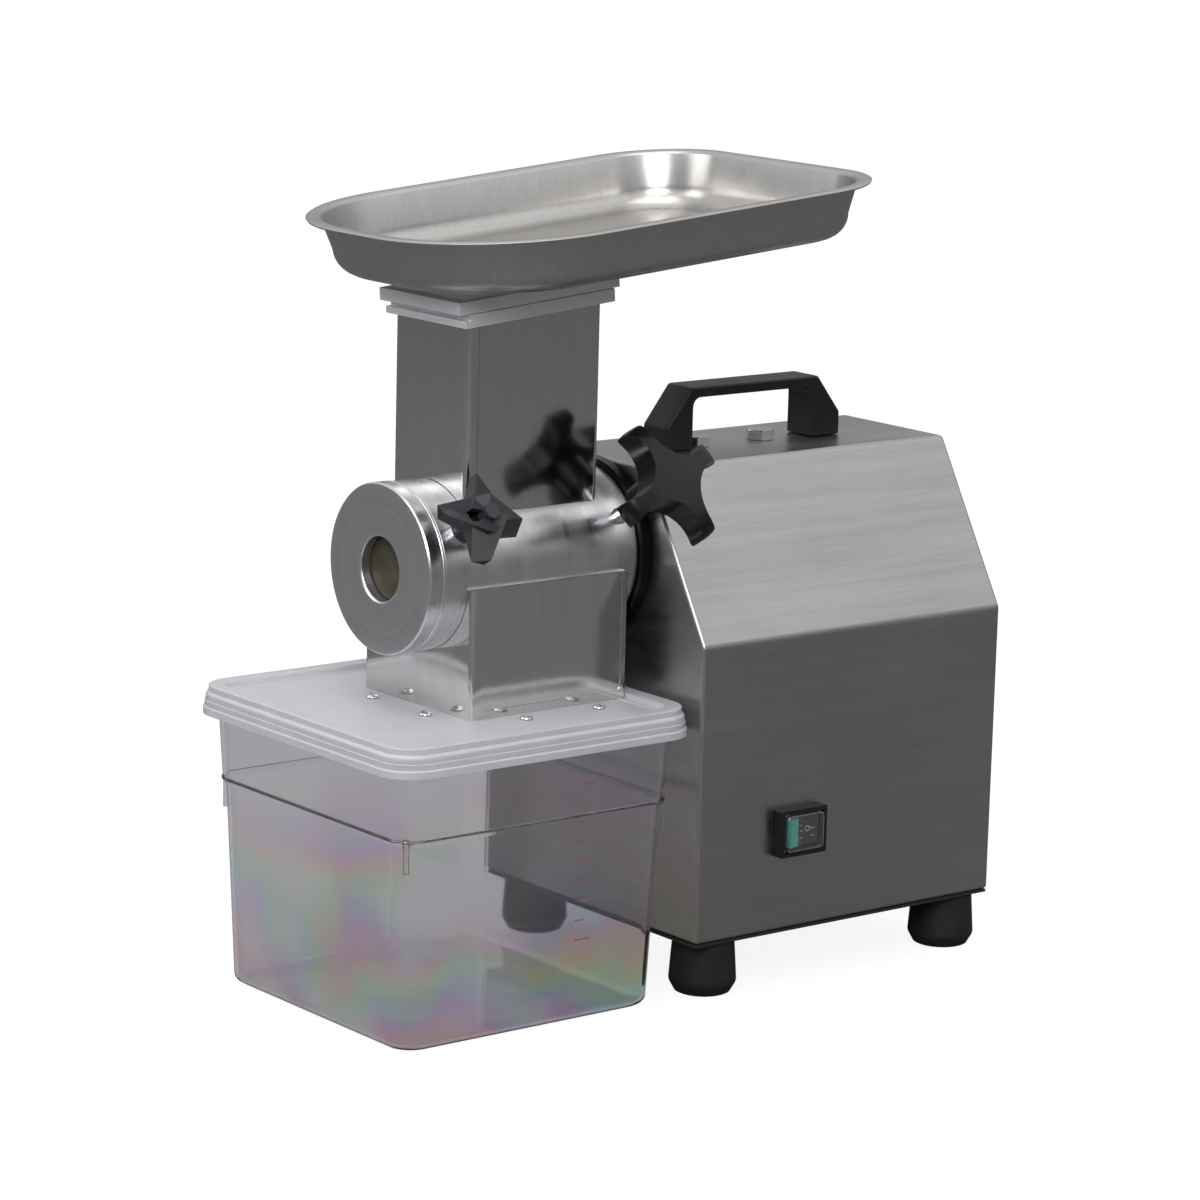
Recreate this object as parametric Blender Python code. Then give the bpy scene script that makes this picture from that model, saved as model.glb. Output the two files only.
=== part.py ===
"""Food grinder: a motor housing on rubber feet, a grinding barrel clamped to its drive hub, a feed
neck with a sloping tray above the barrel, and a chute below it that ends in a lidded container.

Metres, +Z up. X runs across the machine, the barrel's axis runs along Y and its open end faces -Y.
The origin is on the standing surface, under the middle of the machine.
"""

from math import atan2, cos, hypot, pi, radians, sin

import bmesh
import bpy
from mathutils import Matrix, Vector

# Clearances and cutting
CLEARANCE = 0.0003
OVERRUN = 0.004
ROUND = 32
FINE_ROUND = 40
BEARING_ROUND = 24
SMALL_ROUND = 14
SCREW_ROUND = 10

# Housing: a house-shaped box of folded sheet, open below
HOUSING_WIDTH = 0.218
HOUSING_LENGTH = 0.2487
HOUSING_FRONT_Y = -0.010
SHOULDER_HEIGHT = 0.1895
ROOF_HEIGHT = 0.104
ROOF_TOP_WIDTH = 0.097
SHEET = 0.0015
BASE_FLANGE = 0.034
BASE_PLATE_THICKNESS = 0.0019
BASE_PLATE_INSET = 0.0010

# Feet and their screws
FOOT_HEIGHT = 0.035
FOOT_RADIUS = 0.0215
FOOT_TOP_RADIUS = 0.0195
FOOT_SOLE_RADIUS = 0.0175
FOOT_CHAMFER = 0.007
FOOT_SPREAD = 0.1746
FOOT_FRONT_INSET = 0.0245
FOOT_REAR_INSET = 0.0210
FOOT_SCREW_RADIUS = 0.004
FOOT_SCREW_HEAD_RADIUS = 0.0065
FOOT_SCREW_HEAD_HEIGHT = 0.005
FOOT_SCREW_SEAT = 0.022
FOOT_SCREW_LENGTH = 0.024
FOOT_BORE_RADIUS = 0.0080

# Rear vents and power inlet
VENT_COUNT = 7
VENT_WIDTH = 0.0044
VENT_HEIGHT = 0.050
VENT_PITCH = 0.011
VENT_RISE = 0.130
INLET_X = -0.052
INLET_RISE = 0.040
INLET_WIDTH = 0.047
INLET_HEIGHT = 0.027
INLET_FLANGE = 0.004
INLET_FLANGE_THICKNESS = 0.0025
INLET_DEPTH = 0.024
INLET_SOCKET_WIDTH = 0.0246
INLET_SOCKET_HEIGHT = 0.0172
INLET_SOCKET_DEPTH = 0.017
INLET_PIN_WIDTH = 0.002
INLET_PIN_HEIGHT = 0.004
INLET_PIN_LENGTH = 0.013
INLET_PIN_SPREAD = 0.014
INLET_PIN_STEP = 0.0045
INLET_CORNER = 0.003

# Handle on the roof
HANDLE_LENGTH = 0.1446
HANDLE_CENTRE_Y = 0.1069
HANDLE_WIDTH = 0.025
HANDLE_HEIGHT = 0.0402
HANDLE_BAR = 0.0070
HANDLE_FRONT_LEG = 0.0214
HANDLE_REAR_LEG = 0.0242
HANDLE_SIDE_HEIGHT = 0.0150
HANDLE_SLOPE_RUN = 0.0175
HANDLE_SLOPE_RISE = 0.0225
HANDLE_CROWN_RUN = 0.0070
HANDLE_INNER_RADIUS = 0.004
HANDLE_EDGE = 0.0010
HANDLE_SCREW_RADIUS = 0.0027
HANDLE_SCREW_HEAD_RADIUS = 0.005
HANDLE_SCREW_HEAD_HEIGHT = 0.0038
HANDLE_SCREW_LENGTH = 0.020

# Bolts through the roof that carry the gear case
HANGER_BOLT_RADIUS = 0.005
HANGER_BOLT_ACROSS_CORNERS = 0.0196
HANGER_BOLT_HEAD = 0.0064
HANGER_BOLT_LENGTH = 0.0095
HANGER_BOLT_FRONT_Y = 0.0680
HANGER_BOLT_SPACING = 0.0540

# Switch on the side
SWITCH_Y = 0.0700
SWITCH_RISE = 0.0640
SWITCH_LENGTH = 0.0375
SWITCH_HEIGHT = 0.0305
SWITCH_PROUD = 0.0080
SWITCH_CORNER = 0.0012
SWITCH_BODY_LENGTH = 0.030
SWITCH_BODY_HEIGHT = 0.0215
SWITCH_BODY_DEPTH = 0.024
SWITCH_WELL_LENGTH = 0.0276
SWITCH_WELL_HEIGHT = 0.0192
SWITCH_WELL_DEPTH = 0.0105
SWITCH_LEDGE_LENGTH = 0.0318
SWITCH_LEDGE_HEIGHT = 0.0250
SWITCH_LEDGE_DEPTH = 0.0020
ROCKER_LENGTH = 0.0252
ROCKER_HEIGHT = 0.0180
ROCKER_WING = 0.0050
ROCKER_WAIST = 0.0032
ROCKER_BACK = 0.0026
ROCKER_REST = radians(8)
ROCKER_PIVOT_DEPTH = 0.0058
COVER_HEIGHT = 0.0041
COVER_WALL = 0.0008
COVER_CORNER = 0.0035
COVER_ROUNDING = 0.0016

# Barrel, drive hub and what turns in them
AXIS_Z = 0.2755
BARREL_RADIUS = 0.0525
BARREL_WALL = 0.003
BARREL_LENGTH = 0.1470
BARREL_STAND_OFF = 0.0088
HUB_RADIUS = 0.056
HUB_SPIGOT_LENGTH = 0.0220
HUB_NECK_RADIUS = 0.0306
HUB_EDGE = 0.0012
HUB_CORE_RADIUS = 0.016
BEARING_RADIUS = 0.021
BEARING_WIDTH = 0.012
SEAL_WIDTH = 0.005
SHAFT_RADIUS = 0.012
SHAFT_JOURNAL_RADIUS = 0.008
SHAFT_HEAD_RADIUS = 0.0155
SHAFT_HEAD_LENGTH = 0.0145
SHAFT_GAP = 0.0020
DRIVE_SLOT_WIDTH = 0.0086
DRIVE_SLOT_DEPTH = 0.009
DRUM_RADIUS = 0.046
DRUM_TOOTH_HEIGHT = 0.004
DRUM_TEETH = 12
DRUM_STEPS = 4
DRUM_TWIST = radians(24)
DRUM_END_GAP = 0.0012

# Front cap and its bush
CAP_RADIUS = 0.053
CAP_THICKNESS = 0.0121
CAP_SPIGOT_LENGTH = 0.018
CAP_BORE_RADIUS = 0.020
CAP_BORE_CHAMFER = 0.0010
CAP_EDGE = 0.0008
BUSH_RECESS = 0.0075
BUSH_END_WALL = 0.0035
BUSH_FLANGE_RADIUS = 0.024
BUSH_FLANGE_THICKNESS = 0.0015

# Feed neck, collar and tray
NECK_WIDTH = 0.0766
NECK_LENGTH = 0.102
NECK_Y = -0.0913
NECK_WALL = 0.002
NECK_CORNER = 0.0045
FEED_SLOPE = radians(5.0)
COLLAR_RISE = 0.1547
COLLAR_WIDTH = 0.083
COLLAR_LENGTH = 0.114
COLLAR_SHIFT = 0.0015
COLLAR_HEIGHT = 0.0082
COLLAR_FRONT_BAR = 0.0045
COLLAR_CORNER = 0.0008
SPOUT_LENGTH = 0.122
SPOUT_SHIFT = 0.0015
SPOUT_FLANGE = 0.008
SPOUT_RISER_WIDTH = 0.075
SPOUT_RISER_LENGTH = 0.104
SPOUT_RISER = 0.0080
SPOUT_OPENING_WIDTH = 0.066
SPOUT_OPENING_LENGTH = 0.092
SPOUT_OPENING_CORNER = 0.008
TRAY_WIDTH = 0.239
TRAY_LENGTH = 0.3387
TRAY_SHIFT = 0.0650
TRAY_FRONT_CORNER = 0.099
TRAY_REAR_CORNER = 0.0595
TRAY_DEPTH = 0.036
TRAY_SHEET = 0.0012
TRAY_RIM = 0.0105
TRAY_RIM_DROP = 0.0010
TRAY_DRAFT = 0.0060
TRAY_BOTTOM_ROUND = 0.014
TRAY_CORNER_STEPS = 6

# Discharge chute, lid and container
CHUTE_WIDTH = 0.112
CHUTE_LENGTH = 0.121
CHUTE_Y = -0.0881
CHUTE_WALL = 0.002
CHUTE_CORNER = 0.0035
CHUTE_TOP_DROP = 0.0075
CHUTE_FLANGE = 0.024
CHUTE_FLANGE_THICKNESS = 0.0015
CHUTE_MOUTH_WIDTH = 0.090
CHUTE_MOUTH_LENGTH = 0.106
CONTAINER_HEIGHT = 0.184
CONTAINER_RIM_HALF = 0.1105
CONTAINER_TOP_HALF = 0.1050
CONTAINER_RIDGE_HALF = 0.1032
CONTAINER_WAIST_HALF = 0.1012
CONTAINER_FOOT_HALF = 0.0965
CONTAINER_RIDGE_Z = 0.1320
CONTAINER_RIDGE_RISE = 0.0035
CONTAINER_RIM = 0.0048
CONTAINER_WALL = 0.0024
CONTAINER_CORNER = 0.024
CONTAINER_FOOT_ROUND = 0.0055
LID_Y = -0.1275
LID_HALF = 0.1140
LID_CORNER = 0.024
LID_SKIRT_Z = 0.1735
LID_LIP = 0.0045
LID_LIP_STEP = 0.0009
LID_WALL = 0.0016
LID_TOP = 0.0073
LID_RIM_WIDTH = 0.0100
LID_STEP_RUN = 0.0035
LID_PANEL_DROP = 0.0033
LID_BEAD = 0.0035
LID_EDGE = 0.0022
LID_CORNER_STEPS = 4
LID_SCREW_SPACING = 0.056
LID_SCREW_OFFSET = 0.0135
LID_SCREW_RADIUS = 0.002
LID_SCREW_HEAD_RADIUS = 0.0040
LID_SCREW_HEAD_HEIGHT = 0.0024
LID_SCREW_LENGTH = 0.006

# Clamping knobs and their studs
KNOB_ANGLE = radians(30)
STAR_INSET = 0.0120
STAR_STUD_RADIUS = 0.004
STAR_BOSS_RADIUS = 0.0065
STAR_BOSS_RISE = 0.0080
STAR_HUB_RADIUS = 0.0090
STAR_HUB_LENGTH = 0.0150
STAR_HEIGHT = 0.0145
STAR_RADIUS = 0.0262
STAR_VALLEY_RADIUS = 0.0130
STAR_TIP_HALF = 0.0046
STAR_TIP_DROP = 0.0070
STAR_SHOULDER_DROP = 0.0045
STAR_HOLE_RADIUS = 0.0050
STAR_HOLE_DEPTH = 0.006
STAR_TURN = radians(-18)
CLAMP_INSET = 0.0100
CLAMP_STUD_RADIUS = 0.005
CLAMP_SHOW = 0.0240
CLAMP_HUB_RADIUS = 0.0115
CLAMP_HUB_LENGTH = 0.0220
CLAMP_HEIGHT = 0.0200
CLAMP_RADIUS = 0.0405
CLAMP_VALLEY_RADIUS = 0.0165
CLAMP_BITE_RADIUS = 0.0240
CLAMP_EDGE = 0.0030
CLAMP_DOME = 0.0015
CLAMP_TURN = radians(24)
CLAMP_ROUND = 48
KNOB_WALL = 0.006

# Gear train
LOW_MODULE = 0.0020
HIGH_MODULE = 0.00175
OUTPUT_TEETH = 42
LAY_PINION_TEETH = 12
LAY_WHEEL_TEETH = 42
MOTOR_PINION_TEETH = 15
ADDENDUM_SHARE = 0.75
DEDENDUM_SHARE = 1.20
TIP_SHARE = 0.20
ROOT_SHARE = 0.66
OUTPUT_GEAR_Y = 0.0040
OUTPUT_GEAR_WIDTH = 0.016
LAY_GAP = 0.0012
LAY_WHEEL_WIDTH = 0.009
LAY_SHAFT_RADIUS = 0.006
LAY_SHAFT_SEAT = 0.004
GEAR_BOSS = 0.004
CASE_WALL = 0.0045
CASE_FRONT_WALL = 0.006
CASE_DEPTH = 0.0440
CASE_RUNNING_GAP = 0.0015
CASE_COVER = 0.006
CASE_ARM_WIDTH = 0.044
CASE_ARM_LENGTH = 0.1390
CASE_ARM_THICKNESS = 0.0075
CASE_RIB_DROP = 0.024

# Motor
MOTOR_RADIUS = 0.062
MOTOR_WALL = 0.003
MOTOR_LENGTH = 0.127
MOTOR_SHAFT_RADIUS = 0.008
STATOR_BORE = 0.036
STATOR_LENGTH = 0.080
STATOR_SETBACK = 0.022
ROTOR_RADIUS = 0.0354
ROTOR_OVERHANG = 0.001
END_BELL_THICKNESS = 0.008
END_BELL_BOSS_RADIUS = 0.016
END_BELL_BOSS = 0.008
FAN_RADIUS = 0.050
FAN_HUB_RADIUS = 0.014
FAN_WIDTH = 0.015
FAN_DISC = 0.002
FAN_BLADES = 7
FAN_BLADE_WIDTH = 0.003
FAN_GAP = 0.0016
FAN_TAIL = 0.004
CAPACITOR_RADIUS = 0.0175
CAPACITOR_HEIGHT = 0.075
CAPACITOR_EDGE = 0.002
CAPACITOR_SIDE_ROOM = 0.016
CAPACITOR_INLET_ROOM = 0.0072

# Places that follow from the sizes above
HOUSING_BASE_Z = FOOT_HEIGHT + BASE_PLATE_THICKNESS + 2 * CLEARANCE
SHOULDER_Z = HOUSING_BASE_Z + SHOULDER_HEIGHT
ROOF_Z = SHOULDER_Z + ROOF_HEIGHT
HOUSING_REAR_Y = HOUSING_FRONT_Y + HOUSING_LENGTH
HOUSING_HALF = HOUSING_WIDTH / 2
CAPACITOR_X = CAPACITOR_RADIUS + CAPACITOR_SIDE_ROOM + SHEET - HOUSING_HALF
CAPACITOR_Y = HOUSING_REAR_Y - INLET_DEPTH - CAPACITOR_INLET_ROOM - CAPACITOR_RADIUS
BARREL_REAR_Y = HOUSING_FRONT_Y - BARREL_STAND_OFF
BARREL_FRONT_Y = BARREL_REAR_Y - BARREL_LENGTH
BARREL_BORE = BARREL_RADIUS - BARREL_WALL
SPIGOT_RADIUS = BARREL_BORE - CLEARANCE
HUB_FACE_Y = BARREL_REAR_Y + CLEARANCE
HUB_FRONT_Y = HUB_FACE_Y - HUB_SPIGOT_LENGTH
CASE_FRONT_Y = HOUSING_FRONT_Y + SHEET + CLEARANCE
CASE_INNER_Y = CASE_FRONT_Y + CASE_FRONT_WALL
CASE_REAR_Y = CASE_FRONT_Y + CASE_DEPTH
COVER_FRONT_Y = CASE_REAR_Y + CLEARANCE
COVER_REAR_Y = COVER_FRONT_Y + CASE_COVER
BEARING_REAR_Y = CASE_INNER_Y - CLEARANCE
BEARING_FRONT_Y = BEARING_REAR_Y - BEARING_WIDTH
SHAFT_HEAD_Y = BEARING_FRONT_Y - 2 * CLEARANCE - SHAFT_HEAD_LENGTH
DRUM_REAR_Y = HUB_FRONT_Y - DRUM_END_GAP
CAP_REAR_Y = BARREL_FRONT_Y - CLEARANCE
CAP_FACE_Y = CAP_REAR_Y - CAP_THICKNESS
CAP_SPIGOT_END_Y = CAP_REAR_Y + CAP_SPIGOT_LENGTH
BUSH_FACE_Y = CAP_FACE_Y + BUSH_RECESS
BUSH_REAR_Y = CAP_SPIGOT_END_Y + CLEARANCE + BUSH_FLANGE_THICKNESS
DRUM_FRONT_Y = BUSH_REAR_Y + CLEARANCE
STAR_Y = BARREL_FRONT_Y + STAR_INSET
CLAMP_Y = BARREL_REAR_Y - CLAMP_INSET
COLLAR_Z = AXIS_Z + COLLAR_RISE
LOW_DISTANCE = LOW_MODULE * (OUTPUT_TEETH + LAY_PINION_TEETH) / 2
HIGH_DISTANCE = HIGH_MODULE * (LAY_WHEEL_TEETH + MOTOR_PINION_TEETH) / 2
LAY_Z = AXIS_Z - LOW_DISTANCE
MOTOR_Z = LAY_Z - HIGH_DISTANCE
WHEEL_Y = OUTPUT_GEAR_Y + OUTPUT_GEAR_WIDTH + GEAR_BOSS
MOTOR_FRONT_Y = COVER_REAR_Y + CLEARANCE
MOTOR_REAR_Y = MOTOR_FRONT_Y + MOTOR_LENGTH
CHUTE_TOP_Z = AXIS_Z - CHUTE_TOP_DROP
LID_TOP_Z = CONTAINER_HEIGHT + LID_TOP
LID_PANEL_Z = LID_TOP_Z - LID_PANEL_DROP
CHUTE_BASE_Z = LID_PANEL_Z - LID_WALL - CLEARANCE - CHUTE_FLANGE_THICKNESS

STEEL = ("brushed_stainless", (0.56, 0.55, 0.54), 0.34, 1.0)
POLISHED = ("polished_stainless", (0.62, 0.61, 0.60), 0.18, 1.0)
TURNED = ("turned_aluminium", (0.60, 0.61, 0.63), 0.32, 1.0)
SATIN = ("satin_aluminium", (0.72, 0.73, 0.76), 0.42, 1.0)
CAST = ("cast_aluminium", (0.50, 0.51, 0.52), 0.60, 1.0)
SHAFT = ("ground_steel", (0.46, 0.46, 0.47), 0.28, 1.0)
SCREW = ("bright_screw", (0.72, 0.72, 0.72), 0.20, 1.0)
BLACK = ("black_plastic", (0.018, 0.018, 0.020), 0.45, 0.0)
GLOSS = ("gloss_black", (0.010, 0.010, 0.011), 0.12, 0.0)
HUB_BLACK = ("black_hub", (0.020, 0.019, 0.019), 0.40, 0.0)
RUBBER = ("black_rubber", (0.020, 0.020, 0.021), 0.70, 0.0)
PAINT = ("black_paint", (0.022, 0.022, 0.022), 0.50, 0.0)
OLIVE = ("bush_plastic", (0.055, 0.050, 0.032), 0.55, 0.0)
LENS = ("green_rocker", (0.12, 0.42, 0.36), 0.30, 0.0)
CLEAR = ("clear_cover", (0.85, 0.88, 0.88), 0.08, 0.0)
CRYSTAL = ("clear_container", (0.80, 0.81, 0.80), 0.06, 0.0)
MILKY = ("milky_lid", (0.80, 0.81, 0.83), 0.32, 0.0)
IRON = ("laminated_iron", (0.20, 0.20, 0.21), 0.55, 1.0)


# Scene and materials

def clear_scene():
    for item in list(bpy.data.objects):
        bpy.data.objects.remove(item, do_unlink=True)


def material(spec):
    """The Principled material of a finish, made once."""
    name, colour, roughness, metallic = spec
    found = bpy.data.materials.get(name)
    if found is None:
        found = bpy.data.materials.new(name)
        found.use_nodes = True
        shader = found.node_tree.nodes["Principled BSDF"]
        shader.inputs["Base Color"].default_value = (*colour, 1.0)
        shader.inputs["Roughness"].default_value = roughness
        shader.inputs["Metallic"].default_value = metallic
        found.diffuse_color = (*colour, 1.0)
    return found


# Places

def along_y(x, y, z):
    """A frame whose local Z points along +Y."""
    return Matrix.Translation((x, y, z)) @ Matrix.Rotation(-pi / 2, 4, "X")


def outward(y, reach, turn=0.0):
    """A frame on a clamping screw's axis: local Z points out of the barrel, at the reach from its axis."""
    direction = Vector((cos(KNOB_ANGLE), 0, sin(KNOB_ANGLE)))
    base = Vector((0, y, AXIS_Z)) + direction * reach
    lean = Matrix.Rotation(pi / 2 - KNOB_ANGLE, 4, "Y")
    return Matrix.Translation(base) @ lean @ Matrix.Rotation(pi / 2 + turn, 4, "Z")


def feed_frame(rise):
    """The sloping frame of the collar and the tray, at a rise above the collar's underside."""
    seat = Matrix.Translation((0, NECK_Y, COLLAR_Z))
    return seat @ Matrix.Rotation(FEED_SLOPE, 4, "X") @ Matrix.Translation((0, 0, rise))


# Outlines, as lists of (a, b) points in counter-clockwise order

def circle(radius, count, turn=0.0):
    angles = [turn + 2 * pi * i / count for i in range(count)]
    return [(radius * cos(angle), radius * sin(angle)) for angle in angles]


def rounded_rectangle(half_a, half_b, radius, steps, centre=(0, 0)):
    points = []
    for sign_a, sign_b, start in ((1, 1, 0), (-1, 1, pi / 2), (-1, -1, pi), (1, -1, 3 * pi / 2)):
        mid_a = centre[0] + sign_a * (half_a - radius)
        mid_b = centre[1] + sign_b * (half_b - radius)
        for step in range(steps + 1):
            angle = start + pi / 2 * step / steps
            points.append((mid_a + radius * cos(angle), mid_b + radius * sin(angle)))
    return points


def rectangle(half_a, half_b, centre=(0, 0)):
    a, b = centre
    signs = ((-1, -1), (1, -1), (1, 1), (-1, 1))
    return [(a + sign_a * half_a, b + sign_b * half_b) for sign_a, sign_b in signs]


def stadium(radius, low, high, steps):
    """An upright slot outline between two centre heights."""
    upper = [(radius * cos(pi * i / steps), high + radius * sin(pi * i / steps)) for i in range(steps + 1)]
    lower = [(-radius * cos(pi * i / steps), low - radius * sin(pi * i / steps)) for i in range(steps + 1)]
    return upper + lower


def inset_outline(points, depth):
    """A convex counter-clockwise outline moved inwards by a depth."""
    moved = []
    for index, here in enumerate(points):
        before = Vector(here) - Vector(points[index - 1])
        after = Vector(points[(index + 1) % len(points)]) - Vector(here)
        first = Vector((-before.y, before.x)).normalized()
        second = Vector((-after.y, after.x)).normalized()
        bisector = (first + second).normalized()
        moved.append(tuple(Vector(here) + bisector * depth / bisector.dot(first)))
    return moved


def house_outline(depth=0.0):
    """The housing's section in X and Z."""
    roof = ROOF_TOP_WIDTH / 2
    points = [
        (-HOUSING_HALF, HOUSING_BASE_Z),
        (HOUSING_HALF, HOUSING_BASE_Z),
        (HOUSING_HALF, SHOULDER_Z),
        (roof, ROOF_Z),
        (-roof, ROOF_Z),
        (-HOUSING_HALF, SHOULDER_Z),
    ]
    return inset_outline(points, depth) if depth else points


def gear_outline(teeth, module, turn):
    """Straight-flanked teeth: four points each, the first tooth's middle at the turn."""
    pitch = 2 * pi / teeth
    tip = module * (teeth / 2 + ADDENDUM_SHARE)
    root = module * (teeth / 2 - DEDENDUM_SHARE)
    points = []
    for tooth in range(teeth):
        middle = turn + tooth * pitch
        for radius, share in ((root, -ROOT_SHARE), (tip, -TIP_SHARE), (tip, TIP_SHARE), (root, ROOT_SHARE)):
            angle = middle + share * pitch / 2
            points.append((radius * cos(angle), radius * sin(angle)))
    return points


def hexagon(across, count):
    """A hexagon as a loop whose count is a multiple of six."""
    points = []
    for i in range(count):
        angle = 2 * pi * i / count
        apothem = across / 2 * cos(pi / 6)
        offset = (angle + pi / 6) % (pi / 3) - pi / 6
        corner = (offset + pi / 6) % (pi / 3) - pi / 6
        radius = apothem / cos(corner)
        points.append((radius * cos(angle), radius * sin(angle)))
    return points


def level(outline, height):
    """An outline as a loop of points at one height."""
    return [(a, b, height) for a, b in outline]


# Solids

def skin(name, loops, finish, place=None, ring=False, smooth=True):
    """A closed solid through loops with equal counts: capped at its ends, or joined round as a ring."""
    mesh = bpy.data.meshes.new(name)
    work = bmesh.new()
    rows = [[work.verts.new(point) for point in loop] for loop in loops]
    count = len(rows[0])
    spans = len(rows) if ring else len(rows) - 1
    for span in range(spans):
        low = rows[span]
        high = rows[(span + 1) % len(rows)]
        for i in range(count):
            j = (i + 1) % count
            work.faces.new((low[i], low[j], high[j], high[i]))
    if not ring:
        work.faces.new(list(reversed(rows[0])))
        work.faces.new(rows[-1])
    bmesh.ops.recalc_face_normals(work, faces=work.faces)
    work.to_mesh(mesh)
    work.free()
    if smooth:
        mesh.shade_smooth()
        mesh.set_sharp_from_angle(angle=radians(35))
    mesh.materials.append(material(finish))
    item = bpy.data.objects.new(name, mesh)
    bpy.context.scene.collection.objects.link(item)
    if place is not None:
        item.matrix_world = place
    return item


def turned(name, profile, finish, place, count=ROUND, ring=False):
    """A turned solid: profile points are (radius, station along local Z)."""
    loops = [level(circle(radius, count), station) for radius, station in profile]
    return skin(name, loops, finish, place, ring)


def prism(name, outline, start, end, finish, place=None, smooth=False):
    return skin(name, [level(outline, start), level(outline, end)], finish, place, smooth=smooth)


def block(name, low, high, finish=PAINT, place=None):
    outline = [(low[0], low[1]), (high[0], low[1]), (high[0], high[1]), (low[0], high[1])]
    return prism(name, outline, low[2], high[2], finish, place)


def upright(outline, y):
    """An outline in X and Z as a loop at one station along Y."""
    return [(a, y, b) for a, b in outline]


def combine(target, tool, operation):
    """Cuts a tool out of the target, or joins it on, and leaves the tool as a hidden wire guide."""
    tool.hide_render = True
    tool.display_type = "WIRE"
    step = target.modifiers.new(operation.lower(), "BOOLEAN")
    step.operation = operation
    step.object = tool
    step.solver = "EXACT"
    return target


def cut(target, tool):
    return combine(target, tool, "DIFFERENCE")


def join(target, tool):
    return combine(target, tool, "UNION")


def bevel(target, width, segments=1, angle=radians(40)):
    step = target.modifiers.new("bevel", "BEVEL")
    step.width = width
    step.segments = segments
    step.limit_method = "ANGLE"
    step.angle_limit = angle
    return target


def copy_of(source, name, location):
    twin = bpy.data.objects.new(name, source.data)
    bpy.context.scene.collection.objects.link(twin)
    twin.location = location
    return twin


def empty(name, location):
    point = bpy.data.objects.new(name, None)
    bpy.context.scene.collection.objects.link(point)
    point.location = location
    return point


def carry(carrier, pieces):
    """Parents pieces to a carrier and keeps their places."""
    bpy.context.view_layer.update()
    for piece in pieces:
        place = piece.matrix_world.copy()
        piece.parent = carrier
        piece.matrix_parent_inverse = carrier.matrix_world.inverted()
        piece.matrix_world = place


# Housing

def foot_places():
    front = HOUSING_FRONT_Y + FOOT_FRONT_INSET
    rear = HOUSING_REAR_Y - FOOT_REAR_INSET
    half = FOOT_SPREAD / 2
    return {
        "front_left": (-half, front, 0),
        "front_right": (half, front, 0),
        "rear_left": (-half, rear, 0),
        "rear_right": (half, rear, 0),
    }


def housing_shell():
    shell = skin(
        "housing_shell",
        [upright(house_outline(), HOUSING_FRONT_Y), upright(house_outline(), HOUSING_REAR_Y)],
        STEEL,
        smooth=False,
    )
    inner = house_outline(SHEET)
    cut(shell, skin(
        "cut_housing_room",
        [upright(inner, HOUSING_FRONT_Y + SHEET), upright(inner, HOUSING_REAR_Y - SHEET)],
        STEEL,
        smooth=False,
    ))
    half = HOUSING_HALF - BASE_FLANGE
    cut(shell, block(
        "cut_housing_base",
        (-half, HOUSING_FRONT_Y + BASE_FLANGE, HOUSING_BASE_Z - OVERRUN),
        (half, HOUSING_REAR_Y - BASE_FLANGE, HOUSING_BASE_Z + OVERRUN),
    ))
    bore = [(HUB_NECK_RADIUS + CLEARANCE, -OVERRUN), (HUB_NECK_RADIUS + CLEARANCE, OVERRUN)]
    cut(shell, turned("cut_nose_bore", bore, STEEL, along_y(0, HOUSING_FRONT_Y, AXIS_Z)))
    for name, place in foot_places().items():
        cut(shell, screw_hole("cut_flange_" + name, place, HOUSING_BASE_Z, FOOT_SCREW_RADIUS))
    for index, y in enumerate(hanger_stations()):
        cut(shell, screw_hole(f"cut_roof_hanger_{index + 1}", (0, y, 0), ROOF_Z, HANGER_BOLT_RADIUS))
    for index, y in enumerate(handle_screw_stations()):
        cut(shell, screw_hole(f"cut_roof_handle_{index + 1}", (0, y, 0), ROOF_Z, HANDLE_SCREW_RADIUS))
    half_length = SWITCH_BODY_LENGTH / 2 + CLEARANCE
    half_height = SWITCH_BODY_HEIGHT / 2 + CLEARANCE
    cut(shell, block(
        "cut_switch_window",
        (HOUSING_HALF - OVERRUN, SWITCH_Y - half_length, switch_z() - half_height),
        (HOUSING_HALF + OVERRUN, SWITCH_Y + half_length, switch_z() + half_height),
    ))
    half_width = INLET_WIDTH / 2 + CLEARANCE
    half_height = INLET_HEIGHT / 2 + CLEARANCE
    cut(shell, block(
        "cut_inlet_window",
        (INLET_X - half_width, HOUSING_REAR_Y - OVERRUN, inlet_z() - half_height),
        (INLET_X + half_width, HOUSING_REAR_Y + OVERRUN, inlet_z() + half_height),
    ))
    for index in range(VENT_COUNT):
        x = (index - (VENT_COUNT - 1) / 2) * VENT_PITCH
        z = HOUSING_BASE_Z + VENT_RISE
        cut(shell, block(
            f"cut_vent_{index + 1}",
            (x - VENT_WIDTH / 2, HOUSING_REAR_Y - OVERRUN, z - VENT_HEIGHT / 2),
            (x + VENT_WIDTH / 2, HOUSING_REAR_Y + OVERRUN, z + VENT_HEIGHT / 2),
        ))
    return shell


def screw_hole(name, place, z, radius):
    """A cutter for an upright screw's clearance hole through a sheet."""
    hole = [(radius + CLEARANCE, z - OVERRUN), (radius + CLEARANCE, z + OVERRUN)]
    return turned(name, hole, STEEL, Matrix.Translation((place[0], place[1], 0)), SCREW_ROUND)


def base_plate():
    half = HOUSING_HALF - BASE_PLATE_INSET
    low = FOOT_HEIGHT + CLEARANCE
    plate = block(
        "base_plate",
        (-half, HOUSING_FRONT_Y + BASE_PLATE_INSET, low),
        (half, HOUSING_REAR_Y - BASE_PLATE_INSET, low + BASE_PLATE_THICKNESS),
    )
    for name, place in foot_places().items():
        cut(plate, screw_hole("cut_base_" + name, place, low, FOOT_SCREW_RADIUS))
    return plate


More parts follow.
